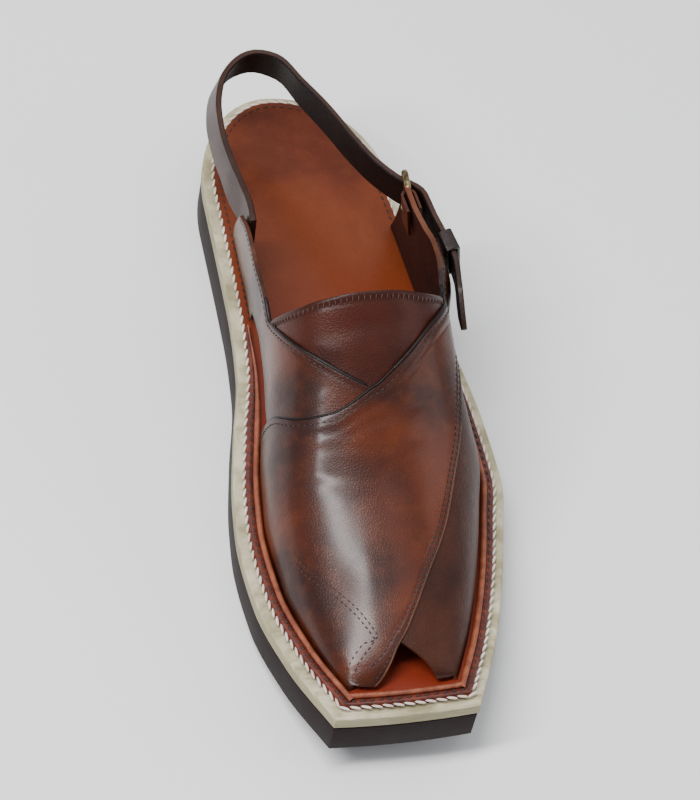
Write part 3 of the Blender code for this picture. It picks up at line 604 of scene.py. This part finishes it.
welt_leather, welt_tree, welt_shader = new_material("welt_leather")
highlight_mask = welt_tree.nodes.new("ShaderNodeAttribute")
highlight_mask.attribute_name = "tan"
welt_place = welt_tree.nodes.new("ShaderNodeTexCoord").outputs["Object"]
welt_wear = ramp_node(welt_tree, noise_node(welt_tree, welt_place, 210.0, 5.0, 0.65), 0.35, 0.7)
margin = mix_node(welt_tree, welt_wear, (0.060, 0.0085, 0.0040), (0.135, 0.0230, 0.0095))
# Painted highlight: the rolled bead takes a tan colour much lighter than the margin.
bead_highlight = mix_node(welt_tree, welt_wear, (0.155, 0.036, 0.0145), (0.28, 0.078, 0.034))
margin_and_highlight = mix_node(welt_tree, highlight_mask.outputs["Fac"], margin, bead_highlight)
welt_tree.links.new(margin_and_highlight, welt_shader.inputs["Base Color"])
welt_shader.inputs["Roughness"].default_value = 0.42
welt_grain = group_node(welt_tree, grain_group, {"Scale": 1100.0})
bumped(welt_tree, welt_shader, welt_grain.outputs["Height"], 0.00012)
finish_piece("welt", welt_build, [welt_leather], "welt", 60)


# Threads
# Waxed thread in separate stitches. A thick off-white lockstitch runs round the edge of the insole on to the
# cream rim, and dark stitches sit in the red-brown margin. Finer rows follow the edges of the panels.

thread_group, thread_in, thread_out = new_group(
    "twisted_thread",
    [
        ("Low", "NodeSocketColor", (0.012, 0.005, 0.004, 1.0)),
        ("High", "NodeSocketColor", (0.045, 0.016, 0.012, 1.0)),
    ],
    [("Color", "NodeSocketColor"), ("Fibres", "NodeSocketFloat")],
)
thread_place = thread_group.nodes.new("ShaderNodeTexCoord").outputs["Object"]
fibres = noise_node(thread_group, thread_place, 2600.0, 3.0, 0.7, 1.5)
grime = noise_node(thread_group, thread_place, 90.0, 3.0)
fibre_share = math_node(thread_group, "MULTIPLY", fibres, 0.5)
grime_share = math_node(thread_group, "MULTIPLY", grime, 0.5)
soiled = ramp_node(thread_group, math_node(thread_group, "ADD", fibre_share, grime_share), 0.35, 0.65)
thread_colour = mix_node(thread_group, soiled, thread_in.outputs["Low"], thread_in.outputs["High"])
thread_group.links.new(thread_colour, thread_out.inputs["Color"])
thread_group.links.new(fibres, thread_out.inputs["Fibres"])


def thread(name, low, high, roughness):
    """Twisted thread with fine fibres."""
    made, tree, shader = new_material(name)
    twist = group_node(tree, thread_group, {"Low": (*low, 1.0), "High": (*high, 1.0)})
    tree.links.new(twist.outputs["Color"], shader.inputs["Base Color"])
    shader.inputs["Roughness"].default_value = roughness
    bumped(tree, shader, twist.outputs["Fibres"], 0.0001)
    return made


def spaced(points, pitch):
    """Places and directions at even steps along a line."""
    points = np.asarray(points, float)
    gaps = np.linalg.norm(np.diff(points, axis=0), axis=1)
    at = np.concatenate([[0.0], np.cumsum(gaps)])
    count = max(int(at[-1] / pitch), 1)
    middle = (np.arange(count) + 0.5) * at[-1] / count
    where = np.stack([np.interp(middle, at, points[:, i]) for i in range(3)], axis=1)
    reach = pitch * 0.3
    ahead = np.stack([np.interp(middle + reach, at, points[:, i]) for i in range(3)], axis=1)
    behind = np.stack([np.interp(middle - reach, at, points[:, i]) for i in range(3)], axis=1)
    along = ahead - behind
    return where, along / np.linalg.norm(along, axis=1)[:, None], middle / at[-1]


def stitches(build, points, outs, pitch, length, radius, sink, skew=0.0):
    """Row of separate stitches, sunk by a share of their height and turned from the line by skew degrees."""
    where, along, share = spaced(points, pitch)
    outs = np.asarray(outs, float)
    spread = np.linspace(0, 1, len(outs))
    for place, way, s in zip(where, along, share):
        out = np.array([np.interp(s, spread, outs[:, i]) for i in range(3)])
        out = Vector(out).normalized()
        way = Vector(way)
        way = (way - out * way.dot(out)).normalized()
        way = Matrix.Rotation(math.radians(skew), 3, out) @ way
        cross = out.cross(way)
        turn = Matrix((way, cross, out)).transposed().to_4x4()
        centre = Vector(place) + out * radius * (1 - 2 * sink)
        scale = Matrix.Diagonal((length / 2, radius, radius, 1.0))
        bmesh.ops.create_uvsphere(
            build, u_segments=8, v_segments=6, radius=1.0, matrix=Matrix.Translation(centre) @ turn @ scale
        )


pale_thread = thread("pale_thread", (0.50, 0.40, 0.34), (0.85, 0.76, 0.68), 0.65)
dark_thread = thread("dark_thread", (0.012, 0.005, 0.004), (0.045, 0.016, 0.012), 0.6)
brown_thread = thread("brown_thread", (0.022, 0.008, 0.005), (0.075, 0.026, 0.015), 0.6)

UP = (0.0, 0.0, 1.0)


def lifted_line(line, height):
    return [(x, y, float(height(y))) for x, y in line]


whole = np.concatenate([ring(INSOLE_INSET - 0.0004), ring(INSOLE_INSET - 0.0004)[:1]])
rim_build = bmesh.new()
stitches(
    rim_build, lifted_line(whole, lambda y: insole_top(y) - 0.0004),
    [UP, UP], 0.0040, 0.0044, 0.00052, 0.3, -15,
)
finish_piece("rim_lockstitch", rim_build, [pale_thread], None, 80)

margin_build = bmesh.new()
stitches(
    margin_build, lifted_line(welt_line(INSOLE_INSET + 0.0017, 0.392), lambda y: foot_level(y) + WELT_FLAT),
    [UP, UP], 0.0034, 0.0021, 0.00042, 0.35, 12,
)
finish_piece("margin_stitches", margin_build, [dark_thread], None, 80)

heel_build = bmesh.new()
inner_ids, _, outer_ids = side_points()
heel_ring = ring(INSOLE_INSET + 0.0022)
heel_order = [i for i in outer_ids[::-1] + inner_ids[1:] if share_of(base_ring()[i, 1]) < 0.385]
stitches(
    heel_build, lifted_line(heel_ring[heel_order], insole_top), [UP, UP], 0.0034, 0.0021, 0.00036, 0.4, 8
)
finish_piece("heel_stitches", heel_build, [dark_thread], None, 80)


# Upper panels
# Three leather panels on one last: an over panel from the inner toe to the outer wing, an under panel that
# shows on both sides of it, as the outer toe and as the inner wing, and a folded tongue where they cross.
# Their cut edges are burnished, and on the long edges that form the V they are painted near black, as edge
# dye and as painted shade.

INSTEP_HEIGHT = 0.078
FRONT_SHARE = 0.9585
TONGUE_LEVELS = (0.0, 0.0014)
UNDER_LEVELS = (0.0005, 0.0021)
OVER_LEVELS = (0.0010, 0.0029)
BULGE_POWER = 0.8
OUTER_BULGE_TOP = 47
SLOPE_STEP = 0.002
RELIEF_FADE = 0.006
EDGE_SHADE = 0.0065
EDGE_ROUNDING = 0.00045
INSIDE_HEIGHT = 0.02
NO_DARK_EDGE = (2.0, 0.0)

ARCH = (
    # share, height, crest, inner fullness, outer fullness, inner bulge, outer bulge
    (0.20, 1.100, 0.000, 2.3, 2.0, 0.076, -0.015),
    (0.31, 1.089, 0.000, 2.4, 2.0, 0.076, -0.010),
    (0.34, 1.084, 0.000, 2.5, 2.0, 0.076, -0.006),
    (0.37, 1.077, 0.000, 2.5, 2.0, 0.075, 0.016),
    (0.40, 1.069, 0.000, 2.5, 2.1, 0.074, 0.034),
    (0.43, 1.052, 0.000, 2.5, 2.2, 0.070, 0.034),
    (0.46, 1.026, 0.000, 2.5, 2.2, 0.066, 0.012),
    (0.49, 0.990, -0.005, 2.4, 2.3, 0.057, -0.024),
    (0.52, 0.942, -0.010, 2.4, 2.4, 0.048, -0.042),
    (0.56, 0.840, -0.015, 2.4, 2.4, 0.036, -0.034),
    (0.60, 0.730, -0.019, 2.3, 2.4, 0.024, -0.016),
    (0.70, 0.500, -0.029, 2.3, 2.3, 0.010, 0.000),
    (0.80, 0.327, -0.038, 2.2, 2.2, 0.000, 0.000),
    (0.90, 0.167, -0.057, 2.1, 2.1, 0.000, 0.000),
    (0.93, 0.109, -0.067, 2.0, 2.0, 0.000, 0.000),
    (0.945, 0.070, -0.067, 2.0, 2.0, 0.000, 0.000),
    (0.9585, 0.008, -0.067, 2.0, 2.0, 0.000, 0.000),
)

OVER_PANEL = (
    # rear share, rear angle, front share, front angle
    (0.300, 34, 0.243, 0),
    (0.340, 35, 0.315, 0),
    (0.390, 35, 0.380, 0),
    (0.440, 36, 0.435, 0),
    (0.475, 36, 0.475, 6),
    (0.500, 40, 0.515, 22),
    (0.525, 49, 0.560, 36),
    (0.554, 62, 0.620, 44),
    (0.583, 74, 0.702, 50),
    (0.606, 84, 0.770, 56),
    (0.620, 90, 0.837, 68),
    (0.634, 100, 0.882, 77),
    (0.640, 110, 0.915, 86),
    (0.637, 121, 0.943, 101),
    (0.629, 132, 0.9585, 126),
    (0.616, 142, 0.9585, 141),
    (0.602, 151, 0.9585, 153),
    (0.592, 160, 0.9585, 164),
    (0.583, 170, 0.9585, 173),
    (0.575, 180, 0.9585, 180),
)

UNDER_PANEL = (
    # foot share, foot angle, top share, top angle
    (0.425, 0, 0.445, 16),
    (0.480, 0, 0.495, 27),
    (0.540, 0, 0.550, 43),
    (0.610, 0, 0.610, 52),
    (0.690, 0, 0.685, 57),
    (0.760, 0, 0.750, 63),
    (0.830, 0, 0.810, 72),
    (0.885, 0, 0.852, 80),
    (0.930, 0, 0.880, 88),
    (0.9585, 0, 0.894, 92),
    (0.9585, 26, 0.904, 94),
    (0.9585, 44, 0.911, 93),
)

UNDER_STRAP = (
    # lower share, lower angle, upper share, upper angle
    (0.248, 180, 0.300, 159),
    (0.275, 180, 0.318, 157),
    (0.315, 180, 0.345, 155),
    (0.355, 180, 0.380, 154),
    (0.385, 179, 0.412, 153),
    (0.400, 175, 0.440, 152),
    (0.415, 171, 0.462, 152),
    (0.445, 169, 0.480, 152),
    (0.490, 168, 0.500, 148),
    (0.530, 168, 0.527, 140),
    (0.565, 166, 0.556, 128),
    (0.600, 161, 0.583, 114),
    (0.640, 150, 0.605, 101),
    (0.662, 134, 0.620, 90),
    (0.668, 116, 0.632, 78),
)

TONGUE_PANEL = (
    # rear share, rear angle, front share, front angle
    (0.470, 160, 0.478, 162),
    (0.488, 149, 0.510, 158),
    (0.503, 138, 0.545, 146),
    (0.514, 127, 0.578, 132),
    (0.520, 115, 0.607, 118),
    (0.523, 103, 0.632, 104),
    (0.523, 91, 0.648, 90),
    (0.522, 79, 0.632, 76),
    (0.520, 67, 0.600, 63),
    (0.511, 53, 0.560, 49),
    (0.495, 41, 0.530, 37),
    (0.478, 33, 0.505, 29),
)

FOOT_RING = ring(foot_inset_ring() + OVER_LEVELS[1])


def foot_x(y, outer_side):
    inner, toe, outer = side_points()
    line = FOOT_RING[outer if outer_side else inner]
    order = np.argsort(line[:, 1])
    return np.interp(y, line[order, 1], line[order, 0])


def last_point(share, degrees):
    """Point of the last under the upper, at a share of the length and an arch angle."""
    share, degrees = np.broadcast_arrays(np.asarray(share, float), np.asarray(degrees, float))
    y = y_of(share)
    angle = np.radians(degrees)
    cosine, sine = np.cos(angle), np.clip(np.sin(angle), 0, 1)
    height = INSTEP_HEIGHT * smooth(ARCH, 1, share)
    crest = BALL_WIDTH * smooth(ARCH, 2, share)
    outer_side = cosine > 0
    fullness = np.where(outer_side, smooth(ARCH, 4, share), smooth(ARCH, 3, share))
    reach = np.where(outer_side, foot_x(y, True) - crest, crest - foot_x(y, False))
    inner_bulge = smooth(ARCH, 5, share) * np.abs(np.sin(2 * angle)) ** BULGE_POWER
    low = np.clip(degrees / OUTER_BULGE_TOP, 0, 1)
    outer_bulge = smooth(ARCH, 6, share) * np.sin(math.pi * low) ** 2
    bulge = BALL_WIDTH * np.where(outer_side, outer_bulge, -inner_bulge)
    x = crest + np.sign(cosine) * reach * np.abs(cosine) ** (2 / fullness) + bulge
    z = foot_level(y) + height * sine ** (2 / fullness)
    return np.stack([x, y, z], axis=-1)


def last_normal(share, degrees):
    turn = np.degrees(SLOPE_STEP)
    low, high = np.clip(degrees - turn, 0, 180), np.clip(degrees + turn, 0, 180)
    around = last_point(share, high) - last_point(share, low)
    back = np.clip(share - SLOPE_STEP, 0, FRONT_SHARE)
    ahead = np.clip(share + SLOPE_STEP, 0, FRONT_SHARE)
    along = last_point(ahead, degrees) - last_point(back, degrees)
    normal = np.cross(around, along)
    return normal / np.linalg.norm(normal, axis=-1)[..., None]


def upper_point(share, degrees, out):
    share, degrees = np.broadcast_arrays(np.asarray(share, float), np.asarray(degrees, float))
    point = last_point(share, degrees) + np.asarray(out)[..., None] * last_normal(share, degrees)
    floor_z = foot_level(point[..., 1])
    at_foot = (degrees <= 0) | (degrees >= 180)
    point[..., 2] = np.where(at_foot, floor_z, np.maximum(point[..., 2], floor_z))
    return point


def ruled(rows, along, across):
    """Shares and angles of a panel between its two long edges, for steps of 0 to 1 each way."""
    table = np.array(rows, float)
    at = np.arange(len(rows), dtype=float)
    where = np.asarray(along) * (len(rows) - 1)
    first_share, first_angle, second_share, second_angle = (
        smooth_line(at, table[:, column], where) for column in range(4)
    )
    share = first_share + (second_share - first_share) * across
    return share, first_angle + (second_angle - first_angle) * across


CREASES = (
    # share, angle, slant, depth, half width in shares, reach in degrees
    (0.655, 118, -0.0006, 0.00013, 0.006, 26),
    (0.676, 108, -0.0004, 0.00009, 0.005, 22),
    (0.700, 122, -0.0007, 0.00010, 0.006, 24),
    (0.640, 74, 0.0009, 0.00026, 0.006, 20),
    (0.668, 66, 0.0008, 0.00018, 0.006, 18),
    (0.560, 100, 0.0002, 0.00012, 0.007, 26),
    (0.600, 130, -0.0005, 0.00014, 0.006, 16),
)
WAVE_DEPTH = 0.00008


def relief(share, degrees):
    """Soft troughs and ridges pressed into the vamp by walking and lasting, in metres."""
    rise = np.zeros(np.shape(share))
    for where, angle, slant, depth, width, reach in CREASES:
        line = where + slant * (degrees - angle)
        fade = np.exp(-(((degrees - angle) / reach) ** 2))
        rise -= depth * fade * np.exp(-(((share - line) / width) ** 2))
        rise += 0.5 * depth * fade * np.exp(-(((share - line - 2 * width) / width) ** 2))
    rise += WAVE_DEPTH * np.sin(share * 61 + degrees * 0.05) * np.sin(degrees * 0.11 + 1.3) ** 2
    return rise


def pressed(near, rows):
    """Troughs and lips along a panel's edge: each row has a distance, a depth and a half width."""
    rise = np.zeros_like(near)
    for distance, depth, width in rows:
        rise -= depth * np.exp(-(((near - distance) / width) ** 2))
    return rise


def panel(name, rows, levels, columns, count, outside, press, dye_shade):
    """Leather panel laid over the last: a grid moved on to it, thickened inwards, with rounded cut edges.

    The attribute edge grows towards both long edges. Another attribute marks where the cut edge is painted
    near black,
    as edge dye and as painted shade: from a share along the panel, on the half next to its first (0) or
    second (1) long edge.
    """
    build = bmesh.new()
    bmesh.ops.create_grid(build, x_segments=columns, y_segments=count, size=0.5)
    places = np.array([v.co for v in build.verts])
    along, across = np.round(places[:, 0] + 0.5, 6), np.round(places[:, 1] + 0.5, 6)
    share, angle = ruled(rows, along, across)
    first = upper_point(*ruled(rows, along, np.zeros_like(across)), levels[1])
    second = upper_point(*ruled(rows, along, np.ones_like(across)), levels[1])
    span = np.linalg.norm(second - first, axis=1)
    near = np.minimum(across, 1 - across) * span
    rise = relief(share, angle) * np.clip(near / RELIEF_FADE, 0, 1) + pressed(near, press)
    points = upper_point(share, angle, levels[1] + rise)
    edge = build.verts.layers.float.new("edge")
    # The cut edge is painted near black where marked, as edge dye and as painted shade of the step.
    dye_and_shade = build.verts.layers.float.new("dye_and_shade")
    for vertex, point, distance, a, b in zip(build.verts, points, near, along, across):
        vertex.co = point
        vertex[edge] = float(np.clip(1 - distance / EDGE_SHADE, 0, 1))
        vertex[dye_and_shade] = float(dye_shade[0] <= a and abs(b - dye_shade[1]) < 0.5)
    build.normal_update()
    middle = list(build.faces)[len(build.faces) // 2]
    centre = middle.calc_center_median()
    if middle.normal.dot(centre - Vector((0.0, centre.y, INSIDE_HEIGHT))) < 0:
        bmesh.ops.reverse_faces(build, faces=build.faces)
    piece = finish_piece(name, build, [outside, lining, cut_edge], "upper", 60)
    shell = piece.modifiers.new("thickness", "SOLIDIFY")
    shell.thickness = levels[1] - levels[0]
    shell.offset = -1.0
    shell.use_even_offset = True
    shell.material_offset = 1
    shell.material_offset_rim = 2
    ease = piece.modifiers.new("cut edges", "BEVEL")
    ease.width = EDGE_ROUNDING
    ease.segments = 2
    ease.limit_method = "ANGLE"
    ease.angle_limit = math.radians(55)


upper_leather = leather(
    "upper_leather",
    ((0.020, 0.0032, 0.0012), (0.090, 0.0160, 0.0035), (0.140, 0.036, 0.0095)),
    0.34, 0.24, 950.0, 0.45, 0.00008, "edge",
)
tongue_leather = leather(
    "tongue_leather",
    ((0.020, 0.0030, 0.0014), (0.052, 0.0078, 0.0028), (0.080, 0.0170, 0.0062)),
    0.42, 0.08, 950.0, 0.6, 0.00010, "edge",
)
under_leather = leather(
    "under_leather",
    ((0.014, 0.0032, 0.0018), (0.044, 0.0105, 0.0042), (0.080, 0.024, 0.0095)),
    0.46, 0.05, 700.0, 0.8, 0.00014, "edge",
)
lining = leather(
    "lining",
    ((0.012, 0.0035, 0.0030), (0.030, 0.0085, 0.0070), (0.055, 0.016, 0.012)),
    0.50, 0.05, 800.0, 0.5, 0.00018,
)
# Cut edges are tan; where a panel marks them they are painted near black, as edge dye and as painted shade at
# the V.
cut_edge = leather(
    "cut_edge",
    ((0.006, 0.002, 0.0016), (0.115, 0.036, 0.016), (0.21, 0.078, 0.036)),
    0.42, 0.1, 1600.0, 0.2, 0.00008, "dye_and_shade",
)
sewn_rows = ((0.0020, 0.00025, 0.0005), (0.0007, -0.00015, 0.0006))
double_rows = ((0.0018, 0.00022, 0.0005), (0.0052, 0.00022, 0.0006), (0.0034, -0.00010, 0.0008))
folded = ((0.0009, -0.00045, 0.0010), (0.0030, 0.00030, 0.0006), (0.012, 0.00045, 0.0060))
panel("over_panel", OVER_PANEL, OVER_LEVELS, 220, 64, upper_leather, double_rows, (0.2, 0.0))
panel("under_panel", UNDER_PANEL, UNDER_LEVELS, 110, 30, under_leather, sewn_rows, NO_DARK_EDGE)
panel("under_strap", UNDER_STRAP, UNDER_LEVELS, 170, 34, upper_leather, sewn_rows, (0.42, 1.0))
panel("tongue", TONGUE_PANEL, TONGUE_LEVELS, 120, 40, tongue_leather, folded, NO_DARK_EDGE)


# Sewing on the upper
# Fine dark stitches in double rows follow the front edge of the over panel and a pointed line on the vamp.
# Single rows follow the other edges, and short ticks bind the folded top of the tongue.

EDGE_ROWS = (
    # panel, level, second edge, inset, start, end, steps, stitch pitch, length, radius, sink
    (OVER_PANEL, OVER_LEVELS[1], True, 0.0016, 0.33, 0.725, 160, 0.0023, 0.0016, 0.00030, 0.45),
    (OVER_PANEL, OVER_LEVELS[1], True, 0.0052, 0.33, 0.725, 160, 0.0023, 0.0016, 0.00030, 0.45),
    (OVER_PANEL, OVER_LEVELS[1], False, 0.0020, 0.02, 0.97, 240, 0.0025, 0.0017, 0.00026, 0.5),
    (UNDER_STRAP, UNDER_LEVELS[1], True, 0.0020, 0.02, 0.80, 220, 0.0025, 0.0017, 0.00026, 0.5),
    (UNDER_PANEL, UNDER_LEVELS[1], True, 0.0020, 0.86, 0.99, 40, 0.0024, 0.0016, 0.00024, 0.5),
)
CHEVRON_ARM = ((0.780, 149), (0.806, 142), (0.839, 128), (0.874, 115), (0.908, 105))
CHEVRON_BACK = ((0.908, 105), (0.921, 116), (0.932, 130), (0.943, 144))
CHEVRON_GAP = 0.0085
CHEVRON_STEPS = 60
BEAD_PITCH = 0.0009
BEAD_LENGTH = 0.0034
# Dark cords lie in the step just outside these panel edges: painted shadow of the step, together with the
# panels' dark edge paint.
DYE_AND_SHADOW_EDGES = (
    # panel, level, second edge, start, end, radius
    (UNDER_STRAP, UNDER_LEVELS[0] + 0.0009, True, 0.40, 0.905, 0.0009),
    (OVER_PANEL, OVER_LEVELS[0] + 0.0009, False, 0.20, 0.46, 0.0009),
    (OVER_PANEL, OVER_LEVELS[0] + 0.0009, False, 0.45, 0.97, 0.0006),
)


def edge_row(rows, level, second_edge, inset, start, end, steps):
    """Points and outward directions along a long edge of a panel, at an inset from it."""
    along = np.linspace(start, end, steps)
    near, far = (1.0, 0.0) if second_edge else (0.0, 1.0)
    edge = upper_point(*ruled(rows, along, near), level)
    span = np.linalg.norm(edge - upper_point(*ruled(rows, along, far), level), axis=1)
    across = near + (far - near) * np.clip(inset / span, -0.1, 0.5)
    share, angle = ruled(rows, along, across)
    return upper_point(share, angle, level), last_normal(share, angle)


def surface_row(points, level):
    """Points and outward directions along a line given by shares and angles on the last."""
    points = np.array(points, float)
    at = np.linspace(0, len(points) - 1, CHEVRON_STEPS)
    share = np.interp(at, range(len(points)), points[:, 0])
    angle = np.interp(at, range(len(points)), points[:, 1])
    return upper_point(share, angle, level), last_normal(share, angle)


sewing = bmesh.new()
for *line, pitch, length, radius, sink in EDGE_ROWS:
    points, outs = edge_row(*line)
    stitches(sewing, points, outs, pitch, length, radius, sink)
for shift in (0.0, CHEVRON_GAP):
    arm = [(share + shift * 0.55, angle + shift * 380) for share, angle in CHEVRON_ARM]
    back = [(share - shift * 0.9, angle + shift * 380) for share, angle in CHEVRON_BACK]
    for line in (arm, [arm[-1]] + back[1:]):
        points, outs = surface_row(line, OVER_LEVELS[1])
        stitches(sewing, points, outs, 0.0022, 0.0014, 0.00028, 0.45)
finish_piece("panel_stitches", sewing, [dark_thread], None, 80)

# Painted shadow: near-black cords along the panel steps, which also stand for the edge paint.
cord_dye_and_shadow = leather(
    "cord_dye_and_shadow",
    ((0.004, 0.0014, 0.0012), (0.009, 0.003, 0.002), (0.02, 0.007, 0.004)),
    0.4, 0.1, 1500.0, 0.2, 0.00005,
)
dark_cords = bmesh.new()
for rows, level, second_edge, start, end, radius in DYE_AND_SHADOW_EDGES:
    points, outs = edge_row(rows, level, second_edge, -0.0004, start, end, 200)
    stitches(dark_cords, points, outs, BEAD_PITCH, BEAD_LENGTH, radius, 0.5)
finish_piece("shadow_and_dye_cords", dark_cords, [cord_dye_and_shadow], None, 80)

tan_edge = bmesh.new()
points, outs = edge_row(OVER_PANEL, OVER_LEVELS[1] - 0.0003, True, 0.0001, 0.28, 0.725, 160)
stitches(tan_edge, points, outs, BEAD_PITCH, BEAD_LENGTH, 0.00045, 0.5)
finish_piece("tan_edge", tan_edge, [cut_edge], None, 80)

ticks = bmesh.new()
points, outs = edge_row(TONGUE_PANEL, TONGUE_LEVELS[1] + 0.0001, False, 0.0022, 0.10, 0.93, 200)
stitches(ticks, points, outs, 0.0022, 0.0024, 0.00024, 0.45, 80)
finish_piece("tongue_stitches", ticks, [brown_thread], None, 80)


# Strap, buckle, fold and keeper
# A dark leather strap goes round the heel and through a brass wire buckle held by a leather fold. Its pointed
# end passes a leather keeper. Their solids keep their form and get eased edges and finer faces.

LYING = 0.75
FACING_IN = 0.15


def softened(node, materials, ease, levels=0, angle=40, inside=None):
    """Copy of a solid with its triangles joined, its edges eased and its faces smooth.

    Upright faces turned towards the point inside take the second material.
    """
    build = bmesh.new()
    build.from_mesh(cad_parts[node].data)
    bmesh.ops.remove_doubles(build, verts=build.verts, dist=1e-6)
    bmesh.ops.join_triangles(
        build, faces=build.faces, cmp_seam=False, cmp_sharp=False, cmp_uvs=False, cmp_vcols=False,
        cmp_materials=False, angle_face_threshold=0.35, angle_shape_threshold=0.9,
    )
    build.normal_update()
    bmesh.ops.recalc_face_normals(build, faces=build.faces)
    for face in build.faces:
        middle = face.calc_center_median()
        if inside is None or abs(face.normal.z) > LYING:
            continue
        if face.normal.dot((Vector((*inside, middle.z)) - middle).normalized()) > FACING_IN:
            face.material_index = 1
    piece = finish_piece(node + "_looks", build, materials, node, angle)
    if ease:
        bevel = piece.modifiers.new("eased edges", "BEVEL")
        bevel.width = ease
        bevel.segments = 2
        bevel.limit_method = "ANGLE"
        bevel.angle_limit = math.radians(38)
    if levels:
        finer = piece.modifiers.new("finer faces", "SUBSURF")
        finer.levels = levels
        finer.render_levels = levels


brass_group, brass_in, brass_out = new_group(
    "brass_patina",
    [
        ("Low", "NodeSocketColor", (0.09, 0.06, 0.03, 1.0)),
        ("High", "NodeSocketColor", (0.48, 0.37, 0.19, 1.0)),
    ],
    [("Color", "NodeSocketColor"), ("Patina", "NodeSocketFloat"), ("Scratches", "NodeSocketFloat")],
)
brass_place = brass_group.nodes.new("ShaderNodeTexCoord").outputs["Object"]
patina = ramp_node(brass_group, noise_node(brass_group, brass_place, 420.0, 5.0, 0.65, 0.5), 0.35, 0.68)
scratches = noise_node(brass_group, brass_place, 2400.0, 4.0, 0.7)
brass_colour = mix_node(brass_group, patina, brass_in.outputs["Low"], brass_in.outputs["High"])
for label, socket in (("Color", brass_colour), ("Patina", patina), ("Scratches", scratches)):
    brass_group.links.new(socket, brass_out.inputs[label])


def brass(name, low, high, roughness):
    """Dull antique brass with dark patina in patches and fine scratches."""
    made, tree, shader = new_material(name)
    aged = group_node(tree, brass_group, {"Low": (*low, 1.0), "High": (*high, 1.0)})
    tree.links.new(aged.outputs["Color"], shader.inputs["Base Color"])
    shader.inputs["Metallic"].default_value = 1.0
    varied_roughness(tree, shader, aged.outputs["Patina"], roughness + 0.18, roughness)
    bumped(tree, shader, aged.outputs["Scratches"], 0.00006)
    return made


strap_leather = leather(
    "strap_leather",
    ((0.014, 0.0050, 0.0032), (0.038, 0.0135, 0.0080), (0.075, 0.030, 0.018)),
    0.42, 0.10, 1100.0, 0.5, 0.00014,
)
fold_leather = leather(
    "fold_leather",
    ((0.018, 0.0050, 0.0030), (0.055, 0.0150, 0.0070), (0.11, 0.036, 0.017)),
    0.40, 0.2, 1100.0, 0.4, 0.00012,
)
keeper_leather = leather(
    "keeper_leather",
    ((0.006, 0.0025, 0.0025), (0.016, 0.0062, 0.0060), (0.034, 0.013, 0.012)),
    0.36, 0.25, 1100.0, 0.4, 0.00012,
)
strap_inside = leather(
    "strap_inside",
    ((0.003, 0.0012, 0.0010), (0.008, 0.0030, 0.0022), (0.018, 0.0065, 0.0042)),
    0.55, 0.0, 900.0, 0.4, 0.00012,
)
softened("heel_strap", [strap_leather, strap_inside], 0.0003, inside=(-0.012, 0.060))
softened("buckle_fold", [fold_leather], 0.00025)
softened("strap_keeper", [keeper_leather], 0.00025)
frame_brass = brass("frame_brass", (0.09, 0.06, 0.03), (0.48, 0.37, 0.19), 0.28)
prong_brass = brass("prong_brass", (0.16, 0.12, 0.07), (0.62, 0.50, 0.30), 0.26)
softened("buckle_frame", [frame_brass], 0.0, 1, 80)
softened("buckle_prong", [prong_brass], 0.0, 1, 80)
